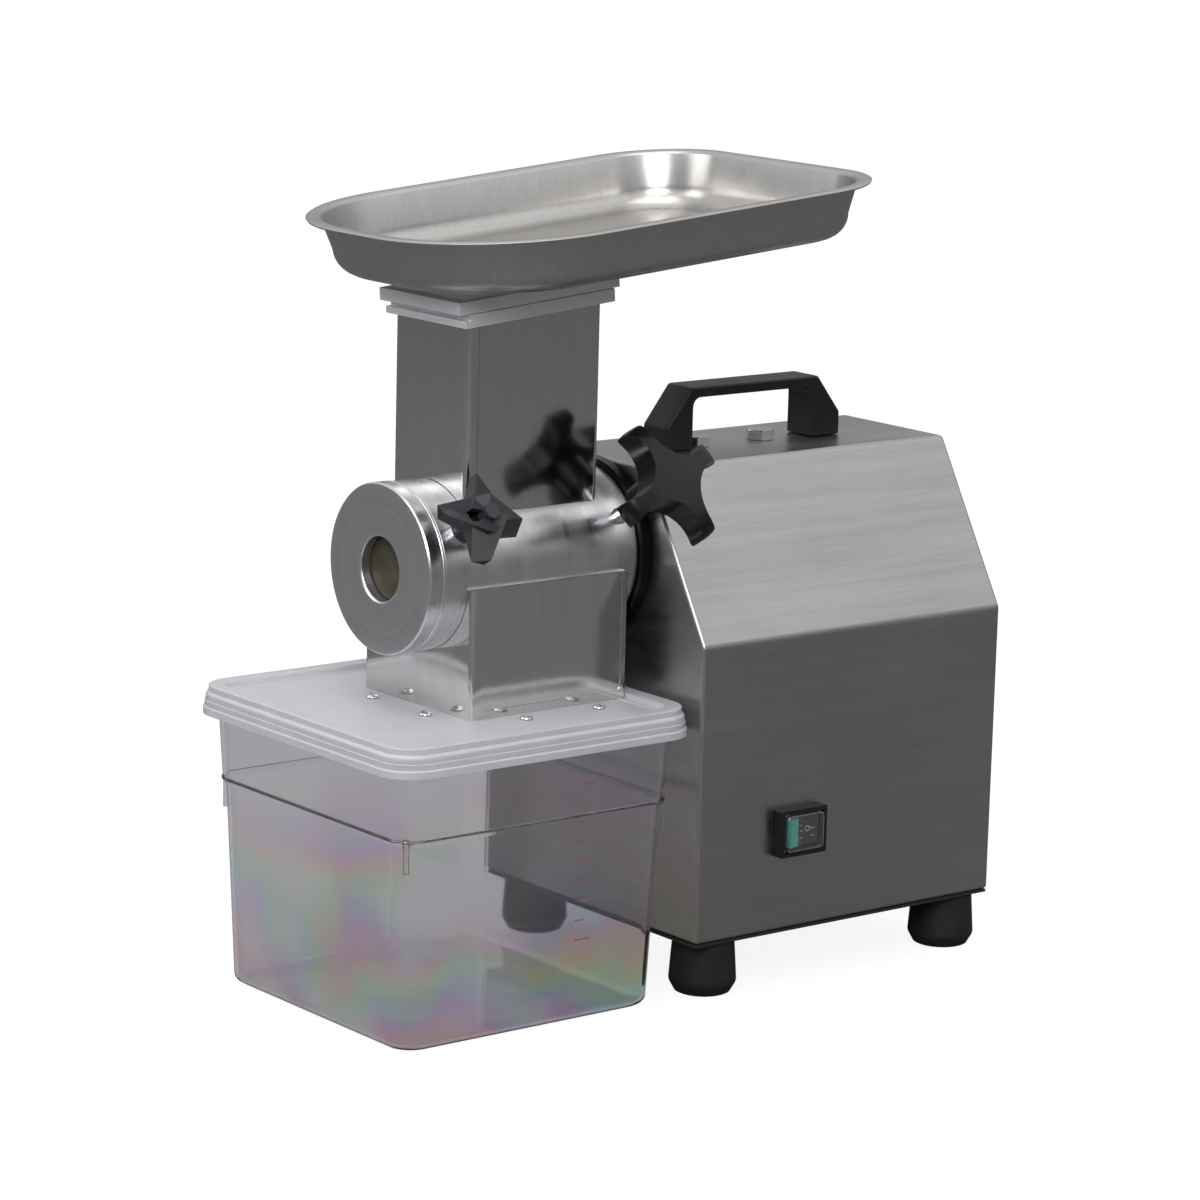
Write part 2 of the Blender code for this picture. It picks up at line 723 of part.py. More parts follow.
def feet():
    hole = FOOT_SCREW_RADIUS + CLEARANCE
    profile = [
        (FOOT_SOLE_RADIUS, 0),
        (FOOT_RADIUS, FOOT_CHAMFER),
        (FOOT_TOP_RADIUS, FOOT_HEIGHT),
        (hole, FOOT_HEIGHT),
        (hole, FOOT_SCREW_SEAT),
        (FOOT_BORE_RADIUS, FOOT_SCREW_SEAT),
        (FOOT_BORE_RADIUS, 0),
    ]
    head_top = FOOT_SCREW_SEAT - CLEARANCE
    screw = [
        (FOOT_SCREW_HEAD_RADIUS, head_top - FOOT_SCREW_HEAD_HEIGHT),
        (FOOT_SCREW_HEAD_RADIUS, head_top),
        (FOOT_SCREW_RADIUS, head_top),
        (FOOT_SCREW_RADIUS, head_top + FOOT_SCREW_LENGTH),
    ]
    made = []
    for name, place in foot_places().items():
        spot = Matrix.Translation(place)
        made.append(turned("foot_" + name, profile, RUBBER, spot, SMALL_ROUND, ring=True))
        made.append(turned("foot_screw_" + name, screw, SCREW, spot, SCREW_ROUND))
    return made


# Handle and roof bolts

def handle_screw_stations():
    start = HANDLE_CENTRE_Y - HANDLE_LENGTH / 2
    end = start + HANDLE_LENGTH
    return (start + HANDLE_FRONT_LEG / 2, end - HANDLE_REAR_LEG / 2)


def handle():
    start = HANDLE_CENTRE_Y - HANDLE_LENGTH / 2
    end = start + HANDLE_LENGTH
    base = ROOF_Z + CLEARANCE
    top = ROOF_Z + HANDLE_HEIGHT
    shoulder = base + HANDLE_SIDE_HEIGHT
    crown = shoulder + HANDLE_SLOPE_RISE
    run = HANDLE_SLOPE_RUN
    inner_start = start + HANDLE_FRONT_LEG
    inner_end = end - HANDLE_REAR_LEG
    ceiling = top - HANDLE_BAR
    radius = HANDLE_INNER_RADIUS
    outline = [
        (start, base),
        (inner_start, base),
        (inner_start, ceiling - radius),
        (inner_start + radius, ceiling),
        (inner_end - radius, ceiling),
        (inner_end, ceiling - radius),
        (inner_end, base),
        (end, base),
        (end, shoulder),
        (end - run, crown),
        (end - run - HANDLE_CROWN_RUN, top),
        (start + run + HANDLE_CROWN_RUN, top),
        (start + run, crown),
        (start, shoulder),
    ]
    half = HANDLE_WIDTH / 2
    body = skin(
        "handle",
        [[(-half, y, z) for y, z in outline], [(half, y, z) for y, z in outline]],
        BLACK,
        smooth=False,
    )
    bevel(body, HANDLE_EDGE)
    depth = HANDLE_SCREW_LENGTH + CLEARANCE
    for index, y in enumerate(handle_screw_stations()):
        hole = [(HANDLE_SCREW_RADIUS + CLEARANCE, -OVERRUN), (HANDLE_SCREW_RADIUS + CLEARANCE, depth)]
        spot = Matrix.Translation((0, y, ROOF_Z))
        cut(body, turned(f"cut_handle_{index + 1}", hole, BLACK, spot, SCREW_ROUND))
    return body


def handle_screws():
    under = ROOF_Z - SHEET - CLEARANCE
    profile = [
        (HANDLE_SCREW_HEAD_RADIUS, under - HANDLE_SCREW_HEAD_HEIGHT),
        (HANDLE_SCREW_HEAD_RADIUS, under),
        (HANDLE_SCREW_RADIUS, under),
        (HANDLE_SCREW_RADIUS, ROOF_Z + HANDLE_SCREW_LENGTH),
    ]
    for name, y in zip(("handle_screw_front", "handle_screw_rear"), handle_screw_stations()):
        turned(name, profile, SCREW, Matrix.Translation((0, y, 0)), SCREW_ROUND)


def hanger_stations():
    return (HANGER_BOLT_FRONT_Y, HANGER_BOLT_FRONT_Y + HANGER_BOLT_SPACING)


def hanger_bolts():
    seat = ROOF_Z + CLEARANCE
    count = 12
    head = hexagon(HANGER_BOLT_ACROSS_CORNERS, count)
    shank = circle(HANGER_BOLT_RADIUS, count)
    loops = [
        level(shank, ROOF_Z - HANGER_BOLT_LENGTH),
        level(shank, seat),
        level(head, seat),
        level(head, seat + HANGER_BOLT_HEAD),
    ]
    for name, y in zip(("hanger_bolt_front", "hanger_bolt_rear"), hanger_stations()):
        skin(name, loops, SCREW, Matrix.Translation((0, y, 0)))


# Switch

def switch_z():
    return HOUSING_BASE_Z + SWITCH_RISE


def inlet_z():
    return HOUSING_BASE_Z + INLET_RISE


def side_frame(depth=0.0):
    """A frame on the side panel whose local Z points out along +X, local X along +Y and local Y up."""
    turn = Matrix(((0, 0, 1), (1, 0, 0), (0, 1, 0))).to_4x4()
    return Matrix.Translation((HOUSING_HALF + depth, SWITCH_Y, switch_z())) @ turn


def switch():
    frame = side_frame()
    collar = rounded_rectangle(SWITCH_LENGTH / 2, SWITCH_HEIGHT / 2, SWITCH_CORNER, 2)
    back = rounded_rectangle(SWITCH_BODY_LENGTH / 2, SWITCH_BODY_HEIGHT / 2, SWITCH_CORNER, 2)
    loops = [
        level(back, -SWITCH_BODY_DEPTH),
        level(back, CLEARANCE),
        level(collar, CLEARANCE),
        level(collar, SWITCH_PROUD),
    ]
    body = skin("switch_body", loops, BLACK, frame, smooth=False)
    well = rectangle(SWITCH_WELL_LENGTH / 2, SWITCH_WELL_HEIGHT / 2)
    top = SWITCH_PROUD + OVERRUN
    cut(body, prism("cut_switch_well", well, SWITCH_PROUD - SWITCH_WELL_DEPTH, top, BLACK, frame))
    ledge = rectangle(SWITCH_LEDGE_LENGTH / 2, SWITCH_LEDGE_HEIGHT / 2)
    cut(body, prism("cut_switch_ledge", ledge, SWITCH_PROUD - SWITCH_LEDGE_DEPTH, top, BLACK, frame))
    return body


def rocker():
    """A shallow V on an upright pivot: its forward wing stands out at rest."""
    half = ROCKER_LENGTH / 2
    outline = [
        (-half, -ROCKER_BACK),
        (half, -ROCKER_BACK),
        (half, ROCKER_WING),
        (0, ROCKER_WAIST),
        (-half, ROCKER_WING),
    ]
    tall = ROCKER_HEIGHT / 2
    place = Matrix.Translation((HOUSING_HALF + SWITCH_PROUD - ROCKER_PIVOT_DEPTH, SWITCH_Y, switch_z()))
    turn = Matrix.Rotation(pi / 2 + ROCKER_REST, 4, "Z") @ Matrix.Scale(-1, 4, (0, 1, 0))
    points = [turn @ Vector((a, b, 0)) for a, b in outline]
    loops = [[(p.x, p.y, -tall) for p in points], [(p.x, p.y, tall) for p in points]]
    return skin("switch_rocker", loops, LENS, place, smooth=False)


def switch_cover():
    """A clear moulded dome that sits in the switch's ledge, open behind."""
    frame = side_frame(SWITCH_PROUD - SWITCH_LEDGE_DEPTH + CLEARANCE)
    half_a = SWITCH_LEDGE_LENGTH / 2 - CLEARANCE
    half_b = SWITCH_LEDGE_HEIGHT / 2 - CLEARANCE
    loops = []
    for inset, height in (
        (0, 0),
        (0, COVER_HEIGHT - COVER_ROUNDING),
        (COVER_ROUNDING, COVER_HEIGHT),
    ):
        outline = rounded_rectangle(half_a - inset, half_b - inset, COVER_CORNER - inset, 3)
        loops.append(level(outline, height))
    body = skin("switch_cover", loops, CLEAR, frame)
    inner = []
    for inset, height in (
        (COVER_WALL, -OVERRUN),
        (COVER_WALL, COVER_HEIGHT - COVER_ROUNDING),
        (COVER_WALL + COVER_ROUNDING, COVER_HEIGHT - COVER_WALL),
    ):
        outline = rounded_rectangle(half_a - inset, half_b - inset, COVER_CORNER - inset, 3)
        inner.append(level(outline, height))
    return cut(body, skin("cut_switch_cover", inner, CLEAR, frame))


def power_inlet():
    """A three-pin appliance inlet, with no lead in it."""
    facing = Matrix(((-1, 0, 0), (0, 0, 1), (0, 1, 0))).to_4x4()
    frame = Matrix.Translation((INLET_X, HOUSING_REAR_Y, inlet_z())) @ facing
    edge = INLET_FLANGE
    flange = rounded_rectangle(INLET_WIDTH / 2 + edge, INLET_HEIGHT / 2 + edge, INLET_CORNER, 2)
    back = rounded_rectangle(INLET_WIDTH / 2, INLET_HEIGHT / 2, INLET_CORNER, 2)
    front = CLEARANCE + INLET_FLANGE_THICKNESS
    outlines = ((back, -INLET_DEPTH), (back, CLEARANCE), (flange, CLEARANCE), (flange, front))
    loops = [level(outline, height) for outline, height in outlines]
    body = skin("power_inlet", loops, BLACK, frame, smooth=False)
    socket = rectangle(INLET_SOCKET_WIDTH / 2, INLET_SOCKET_HEIGHT / 2)
    cut(body, prism("cut_inlet_socket", socket, front - INLET_SOCKET_DEPTH, front + OVERRUN, BLACK, frame))
    for index, (x, y) in enumerate(inlet_pins()):
        pin = rectangle(INLET_PIN_WIDTH / 2, INLET_PIN_HEIGHT / 2, (x, y))
        low = front - INLET_SOCKET_DEPTH - OVERRUN / 2
        high = front - INLET_SOCKET_DEPTH + INLET_PIN_LENGTH
        join(body, prism(f"guide_inlet_pin_{index + 1}", pin, low, high, SCREW, frame))
    return body


def inlet_pins():
    half = INLET_PIN_SPREAD / 2
    return ((-half, -INLET_PIN_STEP / 2), (half, -INLET_PIN_STEP / 2), (0, INLET_PIN_STEP))


# Drive hub, shafts and bearings

def drive_hub():
    """The black nose that the barrel slides over: spigot, flange and neck into the gear case."""
    neck = HUB_NECK_RADIUS
    pocket = BEARING_RADIUS + CLEARANCE
    flange_rear = HOUSING_FRONT_Y - CLEARANCE
    seal_end = HUB_FRONT_Y + SEAL_WIDTH + 2 * CLEARANCE
    pocket_start = BEARING_FRONT_Y - CLEARANCE
    profile = [
        (pocket, HUB_FRONT_Y),
        (SPIGOT_RADIUS, HUB_FRONT_Y),
        (SPIGOT_RADIUS, HUB_FACE_Y),
        (HUB_RADIUS - HUB_EDGE, HUB_FACE_Y),
        (HUB_RADIUS, HUB_FACE_Y + HUB_EDGE),
        (HUB_RADIUS, flange_rear),
        (neck, flange_rear),
        (neck, CASE_INNER_Y),
        (pocket, CASE_INNER_Y),
        (pocket, pocket_start),
        (HUB_CORE_RADIUS, pocket_start),
        (HUB_CORE_RADIUS, seal_end),
        (pocket, seal_end),
    ]
    return turned("drive_hub", profile, HUB_BLACK, along_y(0, 0, AXIS_Z), FINE_ROUND, ring=True)


def ring_part(name, inner, outer, start, end, finish, z=AXIS_Z, count=ROUND):
    """A plain ring about an axis along Y."""
    profile = [(inner, start), (outer, start), (outer, end), (inner, end)]
    return turned(name, profile, finish, along_y(0, 0, z), count, ring=True)


def bearings():
    running = SHAFT_RADIUS + CLEARANCE
    front = BEARING_FRONT_Y
    rear = BEARING_REAR_Y
    ring_part("output_bearing_front", running, BEARING_RADIUS, front, rear, SHAFT, count=BEARING_ROUND)
    start = HUB_FRONT_Y + CLEARANCE
    ring_part("shaft_seal", running, BEARING_RADIUS, start, start + SEAL_WIDTH, RUBBER, count=BEARING_ROUND)
    journal = SHAFT_JOURNAL_RADIUS + CLEARANCE
    outer = cover_pocket() - CLEARANCE
    ring_part("output_bearing_rear", journal, outer, COVER_FRONT_Y, COVER_REAR_Y, SHAFT, count=BEARING_ROUND)


def cover_pocket():
    return SHAFT_RADIUS + GEAR_BOSS


def output_shaft():
    head_end = SHAFT_HEAD_Y + SHAFT_HEAD_LENGTH
    step = COVER_FRONT_Y - 2 * CLEARANCE
    profile = [
        (SHAFT_HEAD_RADIUS, SHAFT_HEAD_Y),
        (SHAFT_HEAD_RADIUS, head_end),
        (SHAFT_RADIUS, head_end),
        (SHAFT_RADIUS, OUTPUT_GEAR_Y + OUTPUT_GEAR_WIDTH + GEAR_BOSS / 2),
        (SHAFT_JOURNAL_RADIUS, OUTPUT_GEAR_Y + OUTPUT_GEAR_WIDTH + GEAR_BOSS / 2),
        (SHAFT_JOURNAL_RADIUS, step + CASE_COVER),
    ]
    shaft = turned("output_shaft", profile, SHAFT, along_y(0, 0, AXIS_Z), BEARING_ROUND)
    half = DRIVE_SLOT_WIDTH / 2
    low = (-half, SHAFT_HEAD_Y - OVERRUN, AXIS_Z - BEARING_RADIUS)
    high = (half, SHAFT_HEAD_Y + DRIVE_SLOT_DEPTH, AXIS_Z + BEARING_RADIUS)
    return cut(shaft, block("cut_drive_slot", low, high))


def gear(name, teeth, module, turn, start, width, bore, z):
    """A spur gear about an axis along Y, with a bore for its shaft."""
    frame = along_y(0, 0, z)
    outline = [(a, -b) for a, b in gear_outline(teeth, module, turn)]
    wheel = prism(name, outline, start, start + width, SHAFT, frame)
    hole = [(bore, start - OVERRUN), (bore, start + width + OVERRUN)]
    return cut(wheel, turned("cut_bore_" + name, hole, SHAFT, frame, BEARING_ROUND))


def mesh_turn(teeth):
    """Turns a lower gear so that a gap between its teeth faces straight up."""
    return pi / 2 + pi / teeth


def gears():
    bore = SHAFT_RADIUS + CLEARANCE
    gear("output_gear", OUTPUT_TEETH, LOW_MODULE, -pi / 2, OUTPUT_GEAR_Y, OUTPUT_GEAR_WIDTH, bore, AXIS_Z)
    lay_bore = LAY_SHAFT_RADIUS + CLEARANCE
    gear("lay_wheel", LAY_WHEEL_TEETH, HIGH_MODULE, -pi / 2, WHEEL_Y, LAY_WHEEL_WIDTH, lay_bore, LAY_Z)
    frame = along_y(0, 0, LAY_Z)
    seat = LAY_SHAFT_SEAT
    profile = [(LAY_SHAFT_RADIUS, CASE_INNER_Y - seat), (LAY_SHAFT_RADIUS, COVER_FRONT_Y + seat)]
    shaft = turned("lay_shaft", profile, SHAFT, frame, SMALL_ROUND)
    teeth = [(a, -b) for a, b in gear_outline(LAY_PINION_TEETH, LOW_MODULE, mesh_turn(LAY_PINION_TEETH))]
    start = OUTPUT_GEAR_Y - LAY_GAP
    end = OUTPUT_GEAR_Y + OUTPUT_GEAR_WIDTH + LAY_GAP
    return join(shaft, prism("guide_lay_pinion", teeth, start, end, SHAFT, frame))


def case_radius():
    tip = LOW_MODULE * (OUTPUT_TEETH / 2 + ADDENDUM_SHARE)
    return tip + CASE_RUNNING_GAP + CASE_WALL


def gear_case():
    """A cast case hung under the roof, closed behind by its cover."""
    radius = case_radius()
    outline = stadium(radius, MOTOR_Z, AXIS_Z, ROUND // 2)
    loops = [upright(outline, CASE_FRONT_Y), upright(outline, CASE_REAR_Y)]
    case = skin("gear_case", loops, CAST, smooth=False)
    ceiling = ROOF_Z - SHEET - CLEARANCE
    half = CASE_ARM_WIDTH / 2
    arm_start = CASE_INNER_Y
    join(case, block(
        "guide_case_arm",
        (-half, arm_start, ceiling - CASE_ARM_THICKNESS),
        (half, arm_start + CASE_ARM_LENGTH, ceiling),
    ))
    join(case, block(
        "guide_case_rib",
        (-half, arm_start, ceiling - CASE_RIB_DROP),
        (half, CASE_REAR_Y, ceiling - CASE_ARM_THICKNESS / 2),
    ))
    room = stadium(radius - CASE_WALL, MOTOR_Z, AXIS_Z, ROUND // 2)
    cut(case, skin(
        "cut_case_room",
        [upright(room, CASE_INNER_Y), upright(room, CASE_REAR_Y + OVERRUN)],
        CAST,
        smooth=False,
    ))
    nose = HUB_NECK_RADIUS + CLEARANCE
    bore = [(nose, CASE_FRONT_Y - OVERRUN), (nose, CASE_INNER_Y + OVERRUN)]
    cut(case, turned("cut_case_nose", bore, CAST, along_y(0, 0, AXIS_Z)))
    pin = LAY_SHAFT_RADIUS + CLEARANCE
    seat = [(pin, CASE_INNER_Y - LAY_SHAFT_SEAT - CLEARANCE), (pin, CASE_INNER_Y + OVERRUN)]
    cut(case, turned("cut_case_lay", seat, CAST, along_y(0, 0, LAY_Z), SMALL_ROUND))
    for index, y in enumerate(hanger_stations()):
        hole = [
            (HANGER_BOLT_RADIUS + CLEARANCE, ceiling - CASE_ARM_THICKNESS - OVERRUN),
            (HANGER_BOLT_RADIUS + CLEARANCE, ceiling + OVERRUN),
        ]
        cut(case, turned(f"cut_arm_{index + 1}", hole, CAST, Matrix.Translation((0, y, 0)), SMALL_ROUND))
    for index, y in enumerate(handle_screw_stations()):
        hole = [
            (HANDLE_SCREW_HEAD_RADIUS + CLEARANCE, ceiling - CASE_ARM_THICKNESS - OVERRUN),
            (HANDLE_SCREW_HEAD_RADIUS + CLEARANCE, ceiling + OVERRUN),
        ]
        spot = Matrix.Translation((0, y, 0))
        cut(case, turned(f"cut_arm_handle_{index + 1}", hole, CAST, spot, SMALL_ROUND))
    return case


def gear_cover():
    outline = stadium(case_radius(), MOTOR_Z, AXIS_Z, ROUND // 2)
    loops = [upright(outline, COVER_FRONT_Y), upright(outline, COVER_REAR_Y)]
    cover = skin("gear_cover", loops, CAST, smooth=False)
    ceiling = ROOF_Z - SHEET - CLEARANCE
    half = CASE_ARM_WIDTH / 2 + CLEARANCE
    cut(cover, block(
        "cut_cover_arm",
        (-half, COVER_FRONT_Y - OVERRUN, ceiling - CASE_ARM_THICKNESS - CLEARANCE),
        (half, COVER_REAR_Y + OVERRUN, ceiling + OVERRUN),
    ))
    for name, radius, z in (
        ("cut_cover_output", cover_pocket(), AXIS_Z),
        ("cut_cover_motor", MOTOR_SHAFT_RADIUS + CLEARANCE, MOTOR_Z),
        ("cut_cover_lay", LAY_SHAFT_RADIUS + CLEARANCE, LAY_Z),
    ):
        bore = [(radius, COVER_FRONT_Y - OVERRUN), (radius, COVER_REAR_Y + OVERRUN)]
        cut(cover, turned(name, bore, CAST, along_y(0, 0, z), BEARING_ROUND))
    return cover


# Motor

def motor():
    frame = along_y(0, 0, MOTOR_Z)
    bore = MOTOR_RADIUS - MOTOR_WALL
    ring_part("motor_case", bore, MOTOR_RADIUS, MOTOR_FRONT_Y, MOTOR_REAR_Y, CAST, MOTOR_Z)
    stator_start = MOTOR_FRONT_Y + STATOR_SETBACK
    stator_end = stator_start + STATOR_LENGTH
    ring_part("stator_core", STATOR_BORE, bore - CLEARANCE, stator_start, stator_end, IRON, MOTOR_Z)
    running = MOTOR_SHAFT_RADIUS + CLEARANCE
    rotor_start = stator_start + ROTOR_OVERHANG
    rotor_end = stator_end - ROTOR_OVERHANG
    ring_part("rotor_core", running, ROTOR_RADIUS, rotor_start, rotor_end, IRON, MOTOR_Z)
    bell_start = MOTOR_REAR_Y + CLEARANCE
    bell_end = bell_start + END_BELL_THICKNESS
    profile = [
        (running, bell_start),
        (MOTOR_RADIUS, bell_start),
        (MOTOR_RADIUS, bell_end),
        (END_BELL_BOSS_RADIUS, bell_end),
        (END_BELL_BOSS_RADIUS, bell_end + END_BELL_BOSS),
        (running, bell_end + END_BELL_BOSS),
    ]
    turned("motor_end_bell", profile, CAST, frame, ring=True)
    fan_start = bell_end + END_BELL_BOSS + FAN_GAP
    fan_end = fan_start + FAN_WIDTH
    cooling_fan(running, fan_start, fan_end)
    pinion_end = WHEEL_Y + LAY_WHEEL_WIDTH
    shaft = [(MOTOR_SHAFT_RADIUS, WHEEL_Y), (MOTOR_SHAFT_RADIUS, fan_end + FAN_TAIL)]
    body = turned("motor_shaft", shaft, SHAFT, frame, SMALL_ROUND)
    teeth = [(a, -b) for a, b in gear_outline(MOTOR_PINION_TEETH, HIGH_MODULE, mesh_turn(MOTOR_PINION_TEETH))]
    start = WHEEL_Y - LAY_GAP
    return join(body, prism("guide_motor_pinion", teeth, start, pinion_end + LAY_GAP, SHAFT, frame))


def cooling_fan(bore, start, end):
    frame = along_y(0, 0, MOTOR_Z)
    disc = start + FAN_DISC
    profile = [
        (bore, start),
        (FAN_RADIUS, start),
        (FAN_RADIUS, disc),
        (FAN_HUB_RADIUS, disc),
        (FAN_HUB_RADIUS, end),
        (bore, end),
    ]
    fan = turned("cooling_fan", profile, BLACK, frame, ring=True)
    half = FAN_BLADE_WIDTH / 2
    for index in range(FAN_BLADES):
        turn = Matrix.Rotation(2 * pi * index / FAN_BLADES, 4, "Z")
        reach = (FAN_HUB_RADIUS + bore) / 2
        blade = block(
            f"guide_fan_blade_{index + 1}",
            (reach, -half, disc - FAN_DISC / 2),
            (FAN_RADIUS - FAN_BLADE_WIDTH, half, end - FAN_DISC / 2),
            BLACK,
            frame @ turn,
        )
        join(fan, blade)
    return fan


def capacitor():
    low = HOUSING_BASE_Z + SHEET + CLEARANCE
    radius = CAPACITOR_RADIUS
    edge = CAPACITOR_EDGE
    profile = [
        (radius, low),
        (radius, low + CAPACITOR_HEIGHT - edge),
        (radius - edge, low + CAPACITOR_HEIGHT),
    ]
    spot = Matrix.Translation((CAPACITOR_X, CAPACITOR_Y, 0))
    return turned("run_capacitor", profile, PAINT, spot, SMALL_ROUND)


# Barrel and what it holds

def barrel_cutter(name, radius):
    """A round cutter on the barrel's axis that runs past everything joined to the barrel."""
    run = BARREL_LENGTH / 2
    profile = [(radius, BARREL_FRONT_Y - run), (radius, BARREL_REAR_Y + run)]
    return turned(name, profile, TURNED, along_y(0, 0, AXIS_Z), FINE_ROUND)


def grinding_barrel():
    front = BARREL_FRONT_Y
    rear = BARREL_REAR_Y
    barrel = ring_part("grinding_barrel", BARREL_BORE, BARREL_RADIUS, front, rear, TURNED, count=FINE_ROUND)
    boss_top = BARREL_RADIUS + STAR_BOSS_RISE
    boss = [(STAR_BOSS_RADIUS, BARREL_BORE + BARREL_WALL / 2), (STAR_BOSS_RADIUS, boss_top)]
    join(barrel, turned("guide_star_boss", boss, TURNED, outward(STAR_Y, 0), SMALL_ROUND))
    for name, y, radius in (
        ("cut_star_thread", STAR_Y, STAR_STUD_RADIUS),
        ("cut_clamp_thread", CLAMP_Y, CLAMP_STUD_RADIUS),
    ):
        hole = [(radius + CLEARANCE, BARREL_BORE - OVERRUN), (radius + CLEARANCE, boss_top + OVERRUN)]
        cut(barrel, turned(name, hole, TURNED, outward(y, 0), SMALL_ROUND))
    half_width = NECK_WIDTH / 2 - NECK_WALL
    half_length = NECK_LENGTH / 2 - NECK_WALL
    cut(barrel, block(
        "cut_barrel_feed",
        (-half_width, NECK_Y - half_length, AXIS_Z),
        (half_width, NECK_Y + half_length, AXIS_Z + BARREL_RADIUS + OVERRUN),
    ))
    half_width = CHUTE_MOUTH_WIDTH / 2
    half_length = CHUTE_MOUTH_LENGTH / 2
    cut(barrel, block(
        "cut_barrel_discharge",
        (-half_width, CHUTE_Y - half_length, AXIS_Z - BARREL_RADIUS - OVERRUN),
        (half_width, CHUTE_Y + half_length, AXIS_Z),
    ))
    return barrel


def front_cap():
    chamfer = CAP_BORE_CHAMFER
    profile = [
        (CAP_BORE_RADIUS + chamfer, CAP_FACE_Y),
        (CAP_RADIUS - CAP_EDGE, CAP_FACE_Y),
        (CAP_RADIUS, CAP_FACE_Y + CAP_EDGE),
        (CAP_RADIUS, CAP_REAR_Y),
        (SPIGOT_RADIUS, CAP_REAR_Y),
        (SPIGOT_RADIUS, CAP_SPIGOT_END_Y),
        (CAP_BORE_RADIUS, CAP_SPIGOT_END_Y),
        (CAP_BORE_RADIUS, CAP_FACE_Y + chamfer),
    ]
    return turned("front_cap", profile, TURNED, along_y(0, 0, AXIS_Z), FINE_ROUND, ring=True)


def cap_bush():
    """The drum's front bearing: a plastic cup, closed in front, with a thrust flange behind."""
    outer = CAP_BORE_RADIUS - CLEARANCE
    bore = SHAFT_RADIUS + CLEARANCE
    flange_start = BUSH_REAR_Y - BUSH_FLANGE_THICKNESS
    profile = [
        (outer, BUSH_FACE_Y),
        (outer, flange_start),
        (BUSH_FLANGE_RADIUS, flange_start),
        (BUSH_FLANGE_RADIUS, BUSH_REAR_Y),
        (bore, BUSH_REAR_Y),
        (bore, BUSH_FACE_Y + BUSH_END_WALL),
    ]
    return turned("cap_bush", profile, OLIVE, along_y(0, 0, AXIS_Z), BEARING_ROUND)


def grinding_drum():
    """A drum with saw teeth that wind slowly along it."""
    loops = []
    base = DRUM_RADIUS - DRUM_TOOTH_HEIGHT
    bore = SHAFT_RADIUS + CLEARANCE
    shares = ((0.0, base), (0.55, DRUM_RADIUS), (0.75, DRUM_RADIUS))
    angles = [2 * pi * (tooth + share) / DRUM_TEETH for tooth in range(DRUM_TEETH) for share, _ in shares]
    radii = [radius for _ in range(DRUM_TEETH) for _, radius in shares]
    length = DRUM_REAR_Y - DRUM_FRONT_Y
    for step in range(DRUM_STEPS + 1):
        twist = DRUM_TWIST * step / DRUM_STEPS
        station = DRUM_FRONT_Y + length * step / DRUM_STEPS
        loops.append([(r * cos(a + twist), r * sin(a + twist), station) for a, r in zip(angles, radii)])
    for station, twist in ((DRUM_REAR_Y, DRUM_TWIST), (DRUM_FRONT_Y, 0.0)):
        loops.append([(bore * cos(a + twist), bore * sin(a + twist), station) for a in angles])
    return skin("grinding_drum", loops, SHAFT, along_y(0, 0, AXIS_Z), ring=True, smooth=False)


def drum_shaft():
    front = BUSH_FACE_Y + BUSH_END_WALL + CLEARANCE
    rear = SHAFT_HEAD_Y - SHAFT_GAP
    profile = [(SHAFT_RADIUS, front), (SHAFT_RADIUS, rear)]
    shaft = turned("drum_shaft", profile, SHAFT, along_y(0, 0, AXIS_Z), BEARING_ROUND)
    half = DRIVE_SLOT_WIDTH / 2 - CLEARANCE
    tall = SHAFT_RADIUS - GEAR_BOSS / 4
    tongue = block(
        "guide_drive_tongue",
        (-half, rear - OVERRUN, AXIS_Z - tall),
        (half, SHAFT_HEAD_Y + DRIVE_SLOT_DEPTH - CLEARANCE, AXIS_Z + tall),
    )
    return join(shaft, tongue)


# Feed neck, collar and tray

def neck_top(y):
    """The height of the sloping plane that the tray's flange rests on."""
    return COLLAR_Z + COLLAR_HEIGHT / cos(FEED_SLOPE) + (y - NECK_Y) * sin(FEED_SLOPE) / cos(FEED_SLOPE)


def feed_neck():
    steps = 3
    outer = rounded_rectangle(NECK_WIDTH / 2, NECK_LENGTH / 2, NECK_CORNER, steps, (0, NECK_Y))
    inner = rounded_rectangle(
        NECK_WIDTH / 2 - NECK_WALL, NECK_LENGTH / 2 - NECK_WALL, NECK_CORNER - NECK_WALL, steps, (0, NECK_Y)
    )
    loops = [
        level(outer, AXIS_Z),
        [(x, y, neck_top(y)) for x, y in outer],
        [(x, y, neck_top(y)) for x, y in inner],
        level(inner, AXIS_Z),
    ]
    neck = skin("feed_neck", loops, POLISHED, ring=True)
    return cut(neck, barrel_cutter("cut_neck_saddle", BARREL_RADIUS + CLEARANCE))


